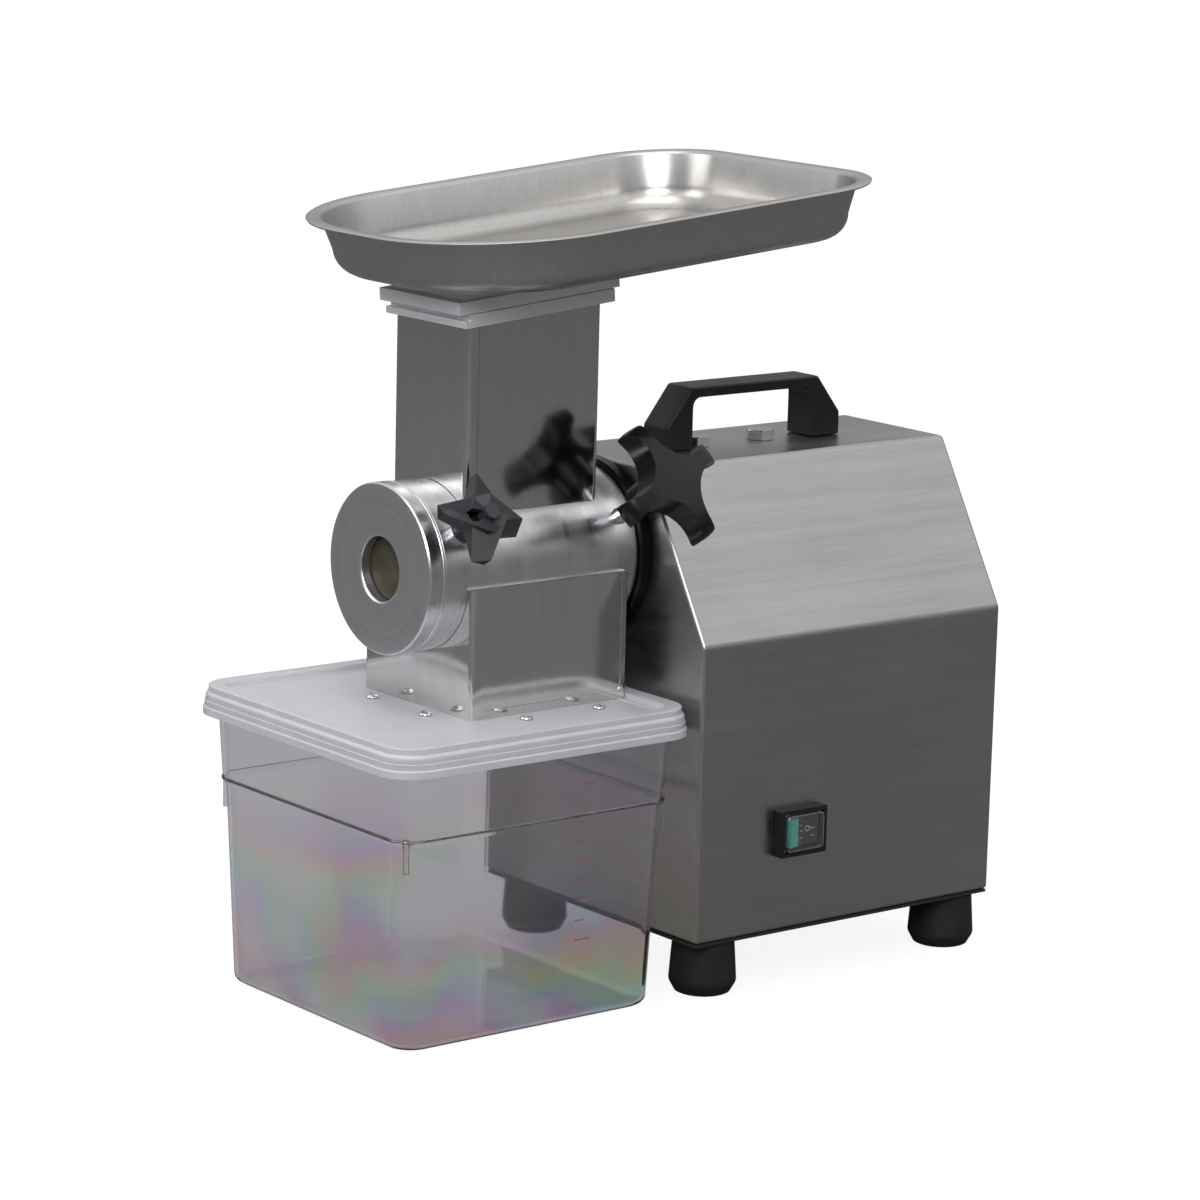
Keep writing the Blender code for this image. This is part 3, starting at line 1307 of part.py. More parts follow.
def neck_collar():
    """An aluminium frame round the neck's mouth, with a lower bar in front."""
    frame = feed_frame(0)
    outline = rounded_rectangle(COLLAR_WIDTH / 2, COLLAR_LENGTH / 2, COLLAR_CORNER, 1, (0, COLLAR_SHIFT))
    collar = prism("neck_collar", outline, 0, COLLAR_HEIGHT, SATIN, frame)
    gap = CLEARANCE
    hole = rounded_rectangle(NECK_WIDTH / 2 + gap, NECK_LENGTH / 2 + gap, NECK_CORNER + gap, 3, (0, NECK_Y))
    rise = COLLAR_HEIGHT + COLLAR_LENGTH
    cut(collar, prism("cut_collar_hole", hole, COLLAR_Z - rise, COLLAR_Z + rise, SATIN))
    front = COLLAR_SHIFT - COLLAR_LENGTH / 2
    step = block(
        "cut_collar_slot",
        (-COLLAR_WIDTH / 2 - OVERRUN, front - OVERRUN, COLLAR_FRONT_BAR),
        (COLLAR_WIDTH / 2 + OVERRUN, -NECK_LENGTH / 2 - 2 * CLEARANCE, COLLAR_HEIGHT + OVERRUN),
        place=frame,
    )
    return cut(collar, step)


def tray_spout():
    """The flange and riser under the tray that pass the feed into the neck."""
    frame = feed_frame(COLLAR_HEIGHT + CLEARANCE)
    flange = rounded_rectangle(COLLAR_WIDTH / 2, SPOUT_LENGTH / 2, COLLAR_CORNER, 2, (0, SPOUT_SHIFT))
    riser = rounded_rectangle(SPOUT_RISER_WIDTH / 2, SPOUT_RISER_LENGTH / 2, COLLAR_CORNER, 2)
    top = SPOUT_FLANGE + SPOUT_RISER
    loops = [level(flange, 0), level(flange, SPOUT_FLANGE), level(riser, SPOUT_FLANGE), level(riser, top)]
    body = skin("tray_spout", loops, SATIN, frame, smooth=False)
    opening = rounded_rectangle(SPOUT_OPENING_WIDTH / 2, SPOUT_OPENING_LENGTH / 2, SPOUT_OPENING_CORNER, 3)
    return cut(body, prism("cut_spout", opening, -OVERRUN, top + OVERRUN, SATIN, frame))


def tray_section(inset, height):
    """The pan's outline at an inset from its rim, with the front corners rounder than the rear ones."""
    half_x = TRAY_WIDTH / 2 - inset
    half_y = TRAY_LENGTH / 2 - inset
    rear = rounded_rectangle(half_x, half_y, TRAY_REAR_CORNER - inset, TRAY_CORNER_STEPS, (0, TRAY_SHIFT))
    front = rounded_rectangle(half_x, half_y, TRAY_FRONT_CORNER - inset, TRAY_CORNER_STEPS, (0, TRAY_SHIFT))
    middle = len(rear) // 2
    return level(rear[:middle] + front[middle:], height)


def tray():
    """A pressed pan with a flat rim, drafted walls and an opening over the spout."""
    floor = COLLAR_HEIGHT + SPOUT_FLANGE + SPOUT_RISER + 2 * CLEARANCE
    frame = feed_frame(floor)
    wall = TRAY_SHEET
    shoulder = TRAY_RIM + TRAY_DRAFT
    bend = TRAY_BOTTOM_ROUND
    outside = [
        (shoulder + bend, 0),
        (shoulder + bend * (1 - sin(pi / 6)), bend * (1 - cos(pi / 6))),
        (shoulder + bend * (1 - sin(pi / 3)), bend * (1 - cos(pi / 3))),
        (shoulder, bend),
        (TRAY_RIM, TRAY_DEPTH - TRAY_RIM_DROP - wall),
        (0, TRAY_DEPTH - TRAY_RIM_DROP - wall),
    ]
    inside = [
        (0, TRAY_DEPTH - TRAY_RIM_DROP),
        (TRAY_RIM / 2, TRAY_DEPTH),
        (TRAY_RIM + wall, TRAY_DEPTH - TRAY_RIM_DROP),
        (shoulder + wall, bend + wall),
        (shoulder + wall + bend * (1 - sin(pi / 3)), wall + bend * (1 - cos(pi / 3))),
        (shoulder + wall + bend * (1 - sin(pi / 6)), wall + bend * (1 - cos(pi / 6))),
        (shoulder + wall + bend, wall),
    ]
    body = skin("tray", [tray_section(inset, height) for inset, height in outside + inside], STEEL, frame)
    opening = rounded_rectangle(SPOUT_OPENING_WIDTH / 2, SPOUT_OPENING_LENGTH / 2, SPOUT_OPENING_CORNER, 3)
    return cut(body, prism("cut_tray", opening, -OVERRUN, wall + OVERRUN, STEEL, frame))


# Chute, lid, container

def discharge_chute():
    """A box under the barrel, cut to its round, with a flange on three sides below for the lid."""
    steps = 2
    half_x = CHUTE_WIDTH / 2
    half_y = CHUTE_LENGTH / 2
    centre = (0, CHUTE_Y)
    box = rounded_rectangle(half_x, half_y, CHUTE_CORNER, steps, centre)
    chute = prism("discharge_chute", box, CHUTE_BASE_Z, CHUTE_TOP_Z, POLISHED)
    flange_top = CHUTE_BASE_Z + CHUTE_FLANGE_THICKNESS
    flange_centre = (0, CHUTE_Y - (CHUTE_FLANGE + CHUTE_CORNER) / 2)
    flange_y = half_y + (CHUTE_FLANGE - CHUTE_CORNER) / 2
    flange = rounded_rectangle(half_x + CHUTE_FLANGE, flange_y, CHUTE_CORNER, steps, flange_centre)
    join(chute, prism("guide_chute_flange", flange, CHUTE_BASE_Z, flange_top, POLISHED))
    wall = CHUTE_WALL
    room = rounded_rectangle(half_x - wall, half_y - wall, CHUTE_CORNER - wall, steps, centre)
    cut(chute, prism("cut_chute_room", room, CHUTE_BASE_Z - OVERRUN, CHUTE_TOP_Z - CHUTE_WALL, POLISHED))
    cut(chute, barrel_cutter("cut_chute_saddle", BARREL_RADIUS + CLEARANCE))
    for index, (x, y) in enumerate(lid_screw_places()):
        bore = LID_SCREW_RADIUS + CLEARANCE
        hole = [(bore, CHUTE_BASE_Z - OVERRUN), (bore, flange_top + OVERRUN)]
        spot = Matrix.Translation((x, y, 0))
        cut(chute, turned(f"cut_chute_screw_{index + 1}", hole, POLISHED, spot, SCREW_ROUND))
    return chute


def lid_screw_places():
    """Two screws along the front and each side of the chute; behind it the lid's rim is too near."""
    half = LID_SCREW_SPACING / 2
    out_x = CHUTE_WIDTH / 2 + LID_SCREW_OFFSET
    front = CHUTE_Y - CHUTE_LENGTH / 2 - LID_SCREW_OFFSET
    return [
        (-half, front),
        (half, front),
        (-out_x, CHUTE_Y - half),
        (-out_x, CHUTE_Y + half),
        (out_x, CHUTE_Y - half),
        (out_x, CHUTE_Y + half),
    ]


def lid_section(half, height):
    corner = LID_CORNER - (LID_HALF - half)
    return level(rounded_rectangle(half, half, corner, LID_CORNER_STEPS, (0, LID_Y)), height)


def lid():
    """A snap-on lid: lipped skirt, raised rim, seal bead and a sunk panel that the chute passes."""
    wall = LID_WALL
    skirt = LID_HALF - LID_LIP_STEP
    inner = skirt - wall
    rim_in = skirt - LID_EDGE - LID_RIM_WIDTH
    panel = rim_in - LID_STEP_RUN
    bead_out = CONTAINER_RIM_HALF - LID_BEAD / 4
    bead_in = bead_out - LID_BEAD
    ceiling = LID_TOP_Z - wall
    bead_z = CONTAINER_HEIGHT + CLEARANCE
    sections = [
        (panel - wall / 2, LID_PANEL_Z - wall),
        (rim_in, ceiling),
        (bead_in, ceiling),
        (bead_in, bead_z),
        (bead_out, bead_z),
        (bead_out, ceiling),
        (inner, ceiling - wall / 2),
        (inner, LID_SKIRT_Z),
        (LID_HALF, LID_SKIRT_Z),
        (LID_HALF, LID_SKIRT_Z + LID_LIP),
        (skirt, LID_SKIRT_Z + LID_LIP + LID_LIP_STEP),
        (skirt, LID_TOP_Z - LID_EDGE),
        (skirt - LID_EDGE, LID_TOP_Z),
        (rim_in, LID_TOP_Z),
        (panel, LID_PANEL_Z),
    ]
    body = skin("container_lid", [lid_section(half, height) for half, height in sections], MILKY)
    gap = CLEARANCE
    hole = rounded_rectangle(
        CHUTE_WIDTH / 2 + gap, CHUTE_LENGTH / 2 + gap, CHUTE_CORNER + gap, 2, (0, CHUTE_Y)
    )
    cut(body, prism("cut_lid_chute", hole, LID_PANEL_Z - wall - OVERRUN, LID_TOP_Z + OVERRUN, MILKY))
    for index, (x, y) in enumerate(lid_screw_places()):
        bore = LID_SCREW_RADIUS + gap
        profile = [(bore, LID_PANEL_Z - wall - OVERRUN), (bore, LID_PANEL_Z + OVERRUN)]
        spot = Matrix.Translation((x, y, 0))
        cut(body, turned(f"cut_lid_screw_{index + 1}", profile, MILKY, spot, SCREW_ROUND))
    return body


def lid_screws():
    seat = LID_PANEL_Z + CLEARANCE
    head = LID_SCREW_HEAD_RADIUS
    rise = LID_SCREW_HEAD_HEIGHT
    profile = [(LID_SCREW_RADIUS, seat - LID_SCREW_LENGTH), (LID_SCREW_RADIUS, seat), (head, seat)]
    for step in (1, 2):
        angle = pi / 2 * step / 3
        profile.append((head * cos(angle), seat + rise * sin(angle)))
    first = None
    for index, (x, y) in enumerate(lid_screw_places()):
        name = f"lid_screw_{index + 1}"
        if first is None:
            first = turned(name, profile, SCREW, Matrix.Translation((x, y, 0)), SCREW_ROUND)
        else:
            copy_of(first, name, (x, y, 0))


def container_section(half, height):
    corner = CONTAINER_CORNER - (CONTAINER_RIM_HALF - half)
    return level(rounded_rectangle(half, half, corner, LID_CORNER_STEPS, (0, LID_Y)), height)


def container():
    """A clear square tub with a rolled rim, a stacking ridge and a slight taper."""
    wall = CONTAINER_WALL
    top = CONTAINER_HEIGHT
    ridge = CONTAINER_RIDGE_Z
    rise = CONTAINER_RIDGE_RISE
    foot = CONTAINER_FOOT_ROUND
    sections = [
        (CONTAINER_FOOT_HALF - foot, 0),
        (CONTAINER_FOOT_HALF - foot * (1 - sin(pi / 4)), foot * (1 - cos(pi / 4))),
        (CONTAINER_FOOT_HALF, foot),
        (CONTAINER_WAIST_HALF, ridge - rise),
        (CONTAINER_RIDGE_HALF, ridge),
        (CONTAINER_TOP_HALF, top - CONTAINER_RIM),
        (CONTAINER_RIM_HALF, top - CONTAINER_RIM),
        (CONTAINER_RIM_HALF, top),
        (CONTAINER_TOP_HALF - wall, top),
        (CONTAINER_RIDGE_HALF - wall, ridge),
        (CONTAINER_WAIST_HALF - wall, ridge - rise),
        (CONTAINER_FOOT_HALF - wall, foot + wall),
        (CONTAINER_FOOT_HALF - wall - foot * (1 - sin(pi / 4)), wall + foot * (1 - cos(pi / 4))),
        (CONTAINER_FOOT_HALF - wall - foot, wall),
    ]
    return skin("container", [container_section(half, height) for half, height in sections], CRYSTAL)


# Knobs

def stud(name, y, radius, reach, finish=SCREW):
    """A clamping stud whose tip bears on the spigot inside the barrel."""
    frame = outward(y, 0)
    return turned(name, [(radius, SPIGOT_RADIUS + CLEARANCE), (radius, reach)], finish, frame, SMALL_ROUND)


def star_outline():
    """Four blunt arms: a valley point, then three points across each tip."""
    tip = atan2(STAR_TIP_HALF, STAR_RADIUS)
    reach = hypot(STAR_RADIUS, STAR_TIP_HALF)
    points = []
    for arm in range(4):
        middle = pi / 2 * arm
        points.append((STAR_VALLEY_RADIUS, middle - pi / 4))
        points.append((reach, middle - tip))
        points.append((STAR_RADIUS + STAR_TIP_HALF / 4, middle))
        points.append((reach, middle + tip))
    return points


def star_knob():
    """A four-armed knob whose arms fall away from a blind centre hole along ridges."""
    base = BARREL_RADIUS + STAR_BOSS_RISE + CLEARANCE
    back = STAR_HUB_LENGTH
    face = back + STAR_HEIGHT
    frame = outward(STAR_Y, base, STAR_TURN)
    points = star_outline()
    hub = [(STAR_HUB_RADIUS * cos(a), STAR_HUB_RADIUS * sin(a), 0) for _, a in points]
    hub_top = [(STAR_HUB_RADIUS * cos(a), STAR_HUB_RADIUS * sin(a), back) for _, a in points]
    under = [(r * cos(a), r * sin(a), back) for r, a in points]
    edge = []
    side_drop = STAR_TIP_DROP + STAR_TIP_HALF / 2
    drops = (STAR_SHOULDER_DROP, side_drop, STAR_TIP_DROP, side_drop)
    for index, (r, a) in enumerate(points):
        edge.append((r * cos(a), r * sin(a), face - drops[index % 4]))
    rim = STAR_HOLE_RADIUS + CLEARANCE * 4
    crown = [(rim * cos(a), rim * sin(a), face) for _, a in points]
    body = skin("star_knob", [hub, hub_top, under, edge, crown], BLACK, frame, smooth=False)
    hole = [(STAR_HOLE_RADIUS, face - STAR_HOLE_DEPTH), (STAR_HOLE_RADIUS, face + OVERRUN)]
    cut(body, turned("cut_star_hole", hole, BLACK, frame, SMALL_ROUND))
    bore = STAR_STUD_RADIUS + CLEARANCE
    socket = [(bore, -OVERRUN), (bore, star_reach() - base + CLEARANCE)]
    return cut(body, turned("cut_star_socket", socket, BLACK, frame, SMALL_ROUND))


def star_reach():
    return BARREL_RADIUS + STAR_BOSS_RISE + STAR_HUB_LENGTH


def clamp_outline(shrink=0.0):
    """A disc with four round bites out of it, which leave four blunt arms."""
    points = []
    bite = CLAMP_BITE_RADIUS + shrink
    reach = CLAMP_VALLEY_RADIUS + CLAMP_BITE_RADIUS
    for index in range(CLAMP_ROUND):
        angle = 2 * pi * index / CLAMP_ROUND
        swing = (angle + pi / 2) % (pi / 2) - pi / 4
        radius = CLAMP_RADIUS - shrink
        across = reach * sin(swing)
        if abs(across) < bite:
            radius = min(radius, reach * cos(swing) - (bite**2 - across**2) ** 0.5)
        points.append((radius * cos(angle), radius * sin(angle)))
    return points


def clamp_knob():
    base = BARREL_RADIUS + CLAMP_SHOW
    back = CLAMP_HUB_LENGTH
    face = back + CLAMP_HEIGHT
    edge = CLAMP_EDGE
    frame = outward(CLAMP_Y, base, CLAMP_TURN)
    hub = circle(CLAMP_HUB_RADIUS, CLAMP_ROUND)
    full = clamp_outline()
    eased = clamp_outline(edge * (1 - cos(pi / 4)))
    top = clamp_outline(edge)
    small = [(a / 3, b / 3) for a, b in top]
    loops = [
        level(hub, 0),
        level(hub, back),
        level(clamp_outline(edge / 2), back),
        level(full, back + edge / 2),
        level(full, face - edge - CLAMP_DOME),
        level(eased, face - edge * (1 - sin(pi / 4)) - CLAMP_DOME),
        level(top, face - CLAMP_DOME),
        level(small, face),
    ]
    body = skin("clamp_knob", loops, GLOSS, frame)
    bore = CLAMP_STUD_RADIUS + CLEARANCE
    socket = [(bore, -OVERRUN), (bore, clamp_reach() - base + CLEARANCE)]
    return cut(body, turned("cut_clamp_socket", socket, GLOSS, frame, SMALL_ROUND))


def clamp_reach():
    return BARREL_RADIUS + CLAMP_SHOW + CLAMP_HUB_LENGTH - KNOB_WALL


# The whole machine

def build():
    clear_scene()
    housing_shell()
    base_plate()
    feet()
    handle()
    handle_screws()
    hanger_bolts()
    switch()
    rocker()
    switch_cover()
    power_inlet()
    drive_hub()
    bearings()
    output_shaft()
    gears()
    gear_case()
    gear_cover()
    motor()
    capacitor()
    barrel = grinding_barrel()
    cap = [front_cap(), cap_bush()]
    drum = [grinding_drum(), drum_shaft()]
    neck = feed_neck()
    collar = neck_collar()
    pan = [tray_spout(), tray()]
    chute = discharge_chute()
    cover = lid()
    lid_screws()
    container()
    star = [stud("star_stud", STAR_Y, STAR_STUD_RADIUS, star_reach()), star_knob()]
    clamp = [stud("clamp_stud", CLAMP_Y, CLAMP_STUD_RADIUS, clamp_reach()), clamp_knob()]
    head = empty("head_origin", (0, BARREL_REAR_Y, AXIS_Z))
    carry(head, [barrel, neck, collar, chute, cover] + cap + drum + pan + star + clamp)


build()
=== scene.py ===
"""Food grinder with its finishes: a brushed housing on rubber feet, a turned barrel with a polished
neck and chute, a sloping pan, two black knobs and a clear tub under a milky lid."""

from math import cos, pi, radians, sin

import bpy
from bpy.props import FloatProperty, FloatVectorProperty, IntProperty, PointerProperty
from mathutils import Matrix, Vector


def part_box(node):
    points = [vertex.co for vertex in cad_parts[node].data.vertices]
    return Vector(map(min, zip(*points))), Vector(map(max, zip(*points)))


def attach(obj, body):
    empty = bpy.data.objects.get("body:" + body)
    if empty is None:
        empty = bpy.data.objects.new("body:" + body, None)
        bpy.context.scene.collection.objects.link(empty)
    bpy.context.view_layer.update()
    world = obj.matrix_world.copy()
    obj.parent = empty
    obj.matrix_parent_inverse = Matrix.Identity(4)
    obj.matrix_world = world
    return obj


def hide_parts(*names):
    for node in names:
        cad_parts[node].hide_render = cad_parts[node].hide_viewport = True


bl_info = {
    "name": "Food grinder",
    "version": (1, 0, 0),
    "blender": (4, 5, 0),
    "location": "View3D > Sidebar > Grinder",
    "description": "Models and finishes a countertop food grinder around its packed parts",
    "category": "Object",
}

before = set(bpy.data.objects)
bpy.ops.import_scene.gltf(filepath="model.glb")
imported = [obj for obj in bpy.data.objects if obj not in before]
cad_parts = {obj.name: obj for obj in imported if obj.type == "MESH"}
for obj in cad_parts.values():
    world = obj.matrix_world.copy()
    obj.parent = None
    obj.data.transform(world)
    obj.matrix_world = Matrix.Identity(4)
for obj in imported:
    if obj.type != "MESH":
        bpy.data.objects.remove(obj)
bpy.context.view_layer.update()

AXIS_Z = 0.2755
KNOB_ANGLE = radians(30)
FEED_SLOPE = radians(5)
COLLAR_Z = 0.4302
COLLAR_HEIGHT = 0.0082
SPOUT_RISE = 0.0085
SPOUT_HEIGHT = 0.016
NECK_Y = -0.0913
HALF_WIDTH = 0.109
HALF_ROOF = 0.0485
SLOPE_DROP = 0.104
FRONT_Y = -0.010
REAR_Y = 0.2387
ROOF_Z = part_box("housing_shell")[1].z
BASE_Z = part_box("housing_shell")[0].z
HANGERS = (("front", 0.068), ("rear", 0.122))
LID_Y = -0.1275
CHUTE_X = 0.056
CHUTE_FRONT = -0.1486
CHUTE_REAR = -0.0276
CHUTE_WALL = 0.002
STAR_Y = -0.1538
CLAMP_Y = -0.0288
SWITCH_Y = 0.070
SWITCH_Z = 0.1015
BARREL_RADIUS = 0.0525
SADDLE_RADIUS = 0.0528
MOUTH_X = 0.0386
MOUTH_Y = 0.0513
OPENING = ((-0.033, -0.046, -0.01), (0.033, 0.046))
GAP = 0.0003
FLAT = 0.00001
FINE = 128
UPRIGHT = Matrix.Identity(4)


def length(name, default, description):
    return FloatProperty(name=name, description=description, default=default, min=0.0, unit="LENGTH")


def shade(name, default, description):
    return FloatVectorProperty(
        name=name, description=description, default=default, size=3, min=0.0, max=1.0, subtype="COLOR"
    )


class GrinderSizes(bpy.types.PropertyGroup):
    """Sizes of the edges and small forms."""

    fold: length("Housing fold", 0.0026, "Radius of the housing's folded edges")
    sheet: length("Housing sheet", 0.0015, "Thickness of the housing's sheet")
    handle_edge: length("Handle edge", 0.0016, "Radius of the carrying handle's edges")
    machined_edge: length("Machined edge", 0.0005, "Radius of the turned parts' edges")
    neck_corner: length("Neck corner", 0.0045, "Radius of the feed neck's corners")
    pan_sheet: length("Pan sheet", 0.0012, "Thickness of the tray's sheet")
    pan_bend: length("Pan bend", 0.014, "Radius between the tray's walls and floor")
    tub_wall: length("Tub wall", 0.0022, "Thickness of the container's walls")
    tub_corner: length("Tub corner", 0.0200, "Radius of the container's corners")
    lid_wall: length("Lid wall", 0.0016, "Thickness of the lid")
    knob_edge: length("Knob edge", 0.0026, "Radius of the clamp knob's edges")
    star_edge: length("Star edge", 0.0009, "Radius of the star knob's edges")
    corner_steps: IntProperty(name="Corner steps", description="Faces round each corner", default=10, min=3)


class GrinderColours(bpy.types.PropertyGroup):
    """Colours of the finishes."""

    steel: shade("Brushed steel", (0.42, 0.408, 0.398), "Colour of the housing's sheet")
    polished: shade("Polished steel", (0.64, 0.632, 0.622), "Colour of the neck and chute")
    pan: shade("Pan steel", (0.50, 0.488, 0.476), "Colour of the tray")
    aluminium: shade("Aluminium", (0.68, 0.685, 0.705), "Colour of the turned parts")
    black: shade("Black plastic", (0.009, 0.009, 0.011), "Colour of the handle and knobs")
    rubber: shade("Rubber", (0.012, 0.012, 0.013), "Colour of the feet")
    tub: shade("Tub", (0.88, 0.87, 0.895), "Colour that the container gives to light")
    lid: shade("Lid", (0.83, 0.835, 0.88), "Colour of the lid")
    rocker: shade("Rocker", (0.08, 0.46, 0.38), "Colour of the switch's rocker")
    bush: shade("Bush", (0.050, 0.044, 0.026), "Colour of the front bearing")
    satin: shade("Satin aluminium", (0.80, 0.80, 0.83), "Colour of the neck's collar and the spout")
    star: shade("Star knob", (0.038, 0.038, 0.044), "Colour of the star knob's plastic")
    marks: shade("Level marks", (0.36, 0.10, 0.11), "Colour of the container's marks")


def sizes():
    return bpy.context.scene.grinder_sizes


def colours():
    return bpy.context.scene.grinder_colours


# Places

def along_y(x=0.0, y=0.0, z=AXIS_Z):
    """A frame whose local Z points along +Y."""
    return Matrix.Translation((x, y, z)) @ Matrix.Rotation(-pi / 2, 4, "X")


def outward(y, reach, turn=0.0):
    """A frame on a clamping screw's axis, with local Z out of the barrel."""
    way = Vector((cos(KNOB_ANGLE), 0, sin(KNOB_ANGLE)))
    lean = Matrix.Rotation(pi / 2 - KNOB_ANGLE, 4, "Y")
    spot = Matrix.Translation(Vector((0, y, AXIS_Z)) + way * reach)
    return spot @ lean @ Matrix.Rotation(pi / 2 + turn, 4, "Z")


def feed_frame(rise):
    """The sloping frame of the collar and the tray."""
    slope = Matrix.Rotation(FEED_SLOPE, 4, "X")
    return Matrix.Translation((0, NECK_Y, COLLAR_Z)) @ slope @ Matrix.Translation((0, 0, rise))


def side_frame(y, z, depth=0.0):
    """A frame on the right side panel: local Z out along +X, local X along +Y."""
    turn = Matrix(((0, 0, 1), (1, 0, 0), (0, 1, 0))).to_4x4()
    return Matrix.Translation((HALF_WIDTH + depth, y, z)) @ turn


# Modelling steps

def fresh():
    if bpy.context.mode != "OBJECT":
        bpy.ops.object.mode_set(mode="OBJECT")
    bpy.ops.object.select_all(action="DESELECT")


def activate(piece):
    fresh()
    piece.select_set(True)
    bpy.context.view_layer.objects.active = piece


def named(name):
    piece = bpy.context.object
    piece.name = name
    piece.data.name = name
    return piece


def leave():
    bpy.ops.object.mode_set(mode="OBJECT")


def edit(piece, kind="FACE", everything=True):
    """Edit mode with everything selected, or nothing."""
    activate(piece)
    bpy.context.tool_settings.mesh_select_mode = (kind == "VERT", kind == "EDGE", kind == "FACE")
    bpy.ops.object.mode_set(mode="EDIT")
    bpy.ops.mesh.select_all(action="SELECT" if everything else "DESELECT")


def pick(piece, kind, test):
    """Edit mode with what passes a test of its middle and its normal or direction."""
    activate(piece)
    mesh = piece.data
    for group in (mesh.vertices, mesh.edges, mesh.polygons):
        group.foreach_set("select", [False] * len(group))
    if kind == "FACE":
        for face in mesh.polygons:
            face.select = test(face.center, face.normal)
    elif kind == "EDGE":
        for edge in mesh.edges:
            a, b = (mesh.vertices[i].co for i in edge.vertices)
            edge.select = test((a + b) / 2, (b - a).normalized())
    else:
        for vertex in mesh.vertices:
            vertex.select = test(vertex.co, vertex.normal)
    bpy.context.tool_settings.mesh_select_mode = (kind == "VERT", kind == "EDGE", kind == "FACE")
    bpy.ops.object.mode_set(mode="EDIT")


def round_edges(piece, axis, width, segments, where=None):
    """Bevels the edges that run along an axis: all, or those whose middle passes a test."""
    pick(piece, "EDGE", lambda middle, way: (
        abs(getattr(way, axis)) > 0.9 and (where is None or where(middle))
    ))
    bpy.ops.mesh.bevel(offset=width, segments=segments)
    leave()
    return piece


def open_up(piece, test):
    """Deletes the faces that pass a test of their middle and normal."""
    pick(piece, "FACE", test)
    bpy.ops.mesh.delete(type="FACE")
    leave()
    return piece


def set_place(piece, place):
    activate(piece)
    piece.matrix_world = place @ piece.matrix_world
    bpy.ops.object.transform_apply(location=True, rotation=True, scale=True)
    return piece


def copied(pattern, name, place):
    """A copy of a pattern piece with a mesh of its own."""
    piece = pattern.copy()
    piece.data = pattern.data.copy()
    piece.name = name
    bpy.context.collection.objects.link(piece)
    return set_place(piece, place)


def middle_of(node):
    """The middle of a node in plan, on the floor."""
    low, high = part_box(node)
    return Matrix.Translation(((low.x + high.x) / 2, (low.y + high.y) / 2, 0))


def box(name, low, high, place=None):
    fresh()
    middle = [(a + b) / 2 for a, b in zip(low, high)]
    bpy.ops.mesh.primitive_cube_add(size=1, location=middle, scale=[b - a for a, b in zip(low, high)])
    piece = named(name)
    bpy.ops.object.transform_apply(location=True, rotation=True, scale=True)
    return set_place(piece, place) if place else piece


def drum(name, radius, start, end, place, segments=FINE):
    """A closed cylinder between two stations of a frame's Z."""
    fresh()
    bpy.ops.mesh.primitive_cylinder_add(
        vertices=segments, radius=radius, depth=end - start, location=(0, 0, (start + end) / 2)
    )
    piece = named(name)
    bpy.ops.object.transform_apply(location=True, rotation=True, scale=True)
    return set_place(piece, place)


def turned(name, profile, place, segments=FINE, ring=False):
    """A circle extruded and resized along (radius, station) points; a ring closes on its start."""
    fresh()
    radius, station = profile[0]
    bpy.ops.mesh.primitive_circle_add(vertices=segments, radius=radius, location=(0, 0, station))
    piece = named(name)
    bpy.ops.object.transform_apply(location=True, rotation=True, scale=True)
    edit(piece, "EDGE")
    if not ring:
        bpy.ops.mesh.edge_face_add()
        bpy.ops.mesh.select_all(action="SELECT")
    path = profile + profile[:1] if ring else profile
    for (r, h), (r_next, h_next) in zip(path, path[1:]):
        bpy.ops.mesh.extrude_region_move(TRANSFORM_OT_translate={"value": (0, 0, h_next - h)})
        if r_next != r:
            share = r_next / r
            bpy.ops.transform.resize(value=(share, share, 1), center_override=(0, 0, h_next))
    bpy.ops.mesh.select_all(action="SELECT")
    bpy.ops.mesh.remove_doubles(threshold=0.000005)
    bpy.ops.mesh.normals_make_consistent(inside=False)
    leave()
    return set_place(piece, place)


def plate(name, half_x, half_y, corners, centre=(0, 0), height=0.0, steps=None):
    """A flat face with a rounded corner for each (sign x, sign y)."""
    fresh()
    bpy.ops.mesh.primitive_plane_add(
        size=1, location=(centre[0], centre[1], height), scale=(2 * half_x, 2 * half_y, 1)
    )
    piece = named(name)
    piece.scale = (2 * half_x, 2 * half_y, 1)
    bpy.ops.object.transform_apply(location=True, rotation=True, scale=True)
    for (sign_x, sign_y), radius in corners.items():
        pick(piece, "VERT", lambda co, _: (
            abs(co.x - centre[0] - sign_x * half_x) < FLAT and abs(co.y - centre[1] - sign_y * half_y) < FLAT
        ))
        bpy.ops.mesh.bevel(offset=radius, segments=steps or sizes().corner_steps, affect="VERTICES")
        leave()
    return piece


def all_corners(radius):
    return {(1, 1): radius, (-1, 1): radius, (-1, -1): radius, (1, -1): radius}


def rise(*moves):
    """The selected face stepped inwards and along its normal, once for each (inset, depth)."""
    for inset, depth in moves:
        if inset:
            bpy.ops.mesh.inset(thickness=inset, depth=depth, use_even_offset=True)
        else:
            bpy.ops.mesh.extrude_region_move(TRANSFORM_OT_translate={"value": (0, 0, depth)})


def apply(piece, kind, **settings):
    """A modifier, applied."""
    activate(piece)
    step = piece.modifiers.new(kind.lower(), kind)
    for key, value in settings.items():
        setattr(step, key, value)
    bpy.ops.object.modifier_apply(modifier=step.name)
    return piece


def combine(piece, tool, operation, folded=False):
    """A boolean; a wall that folds into itself at its tight steps is folded."""
    apply(piece, "BOOLEAN", operation=operation, object=tool, solver="EXACT", use_self=folded)
    bpy.data.objects.remove(tool)
    return piece


def cut(piece, tool):
    return combine(piece, tool, "DIFFERENCE")


def join(piece, tool):
    return combine(piece, tool, "UNION")


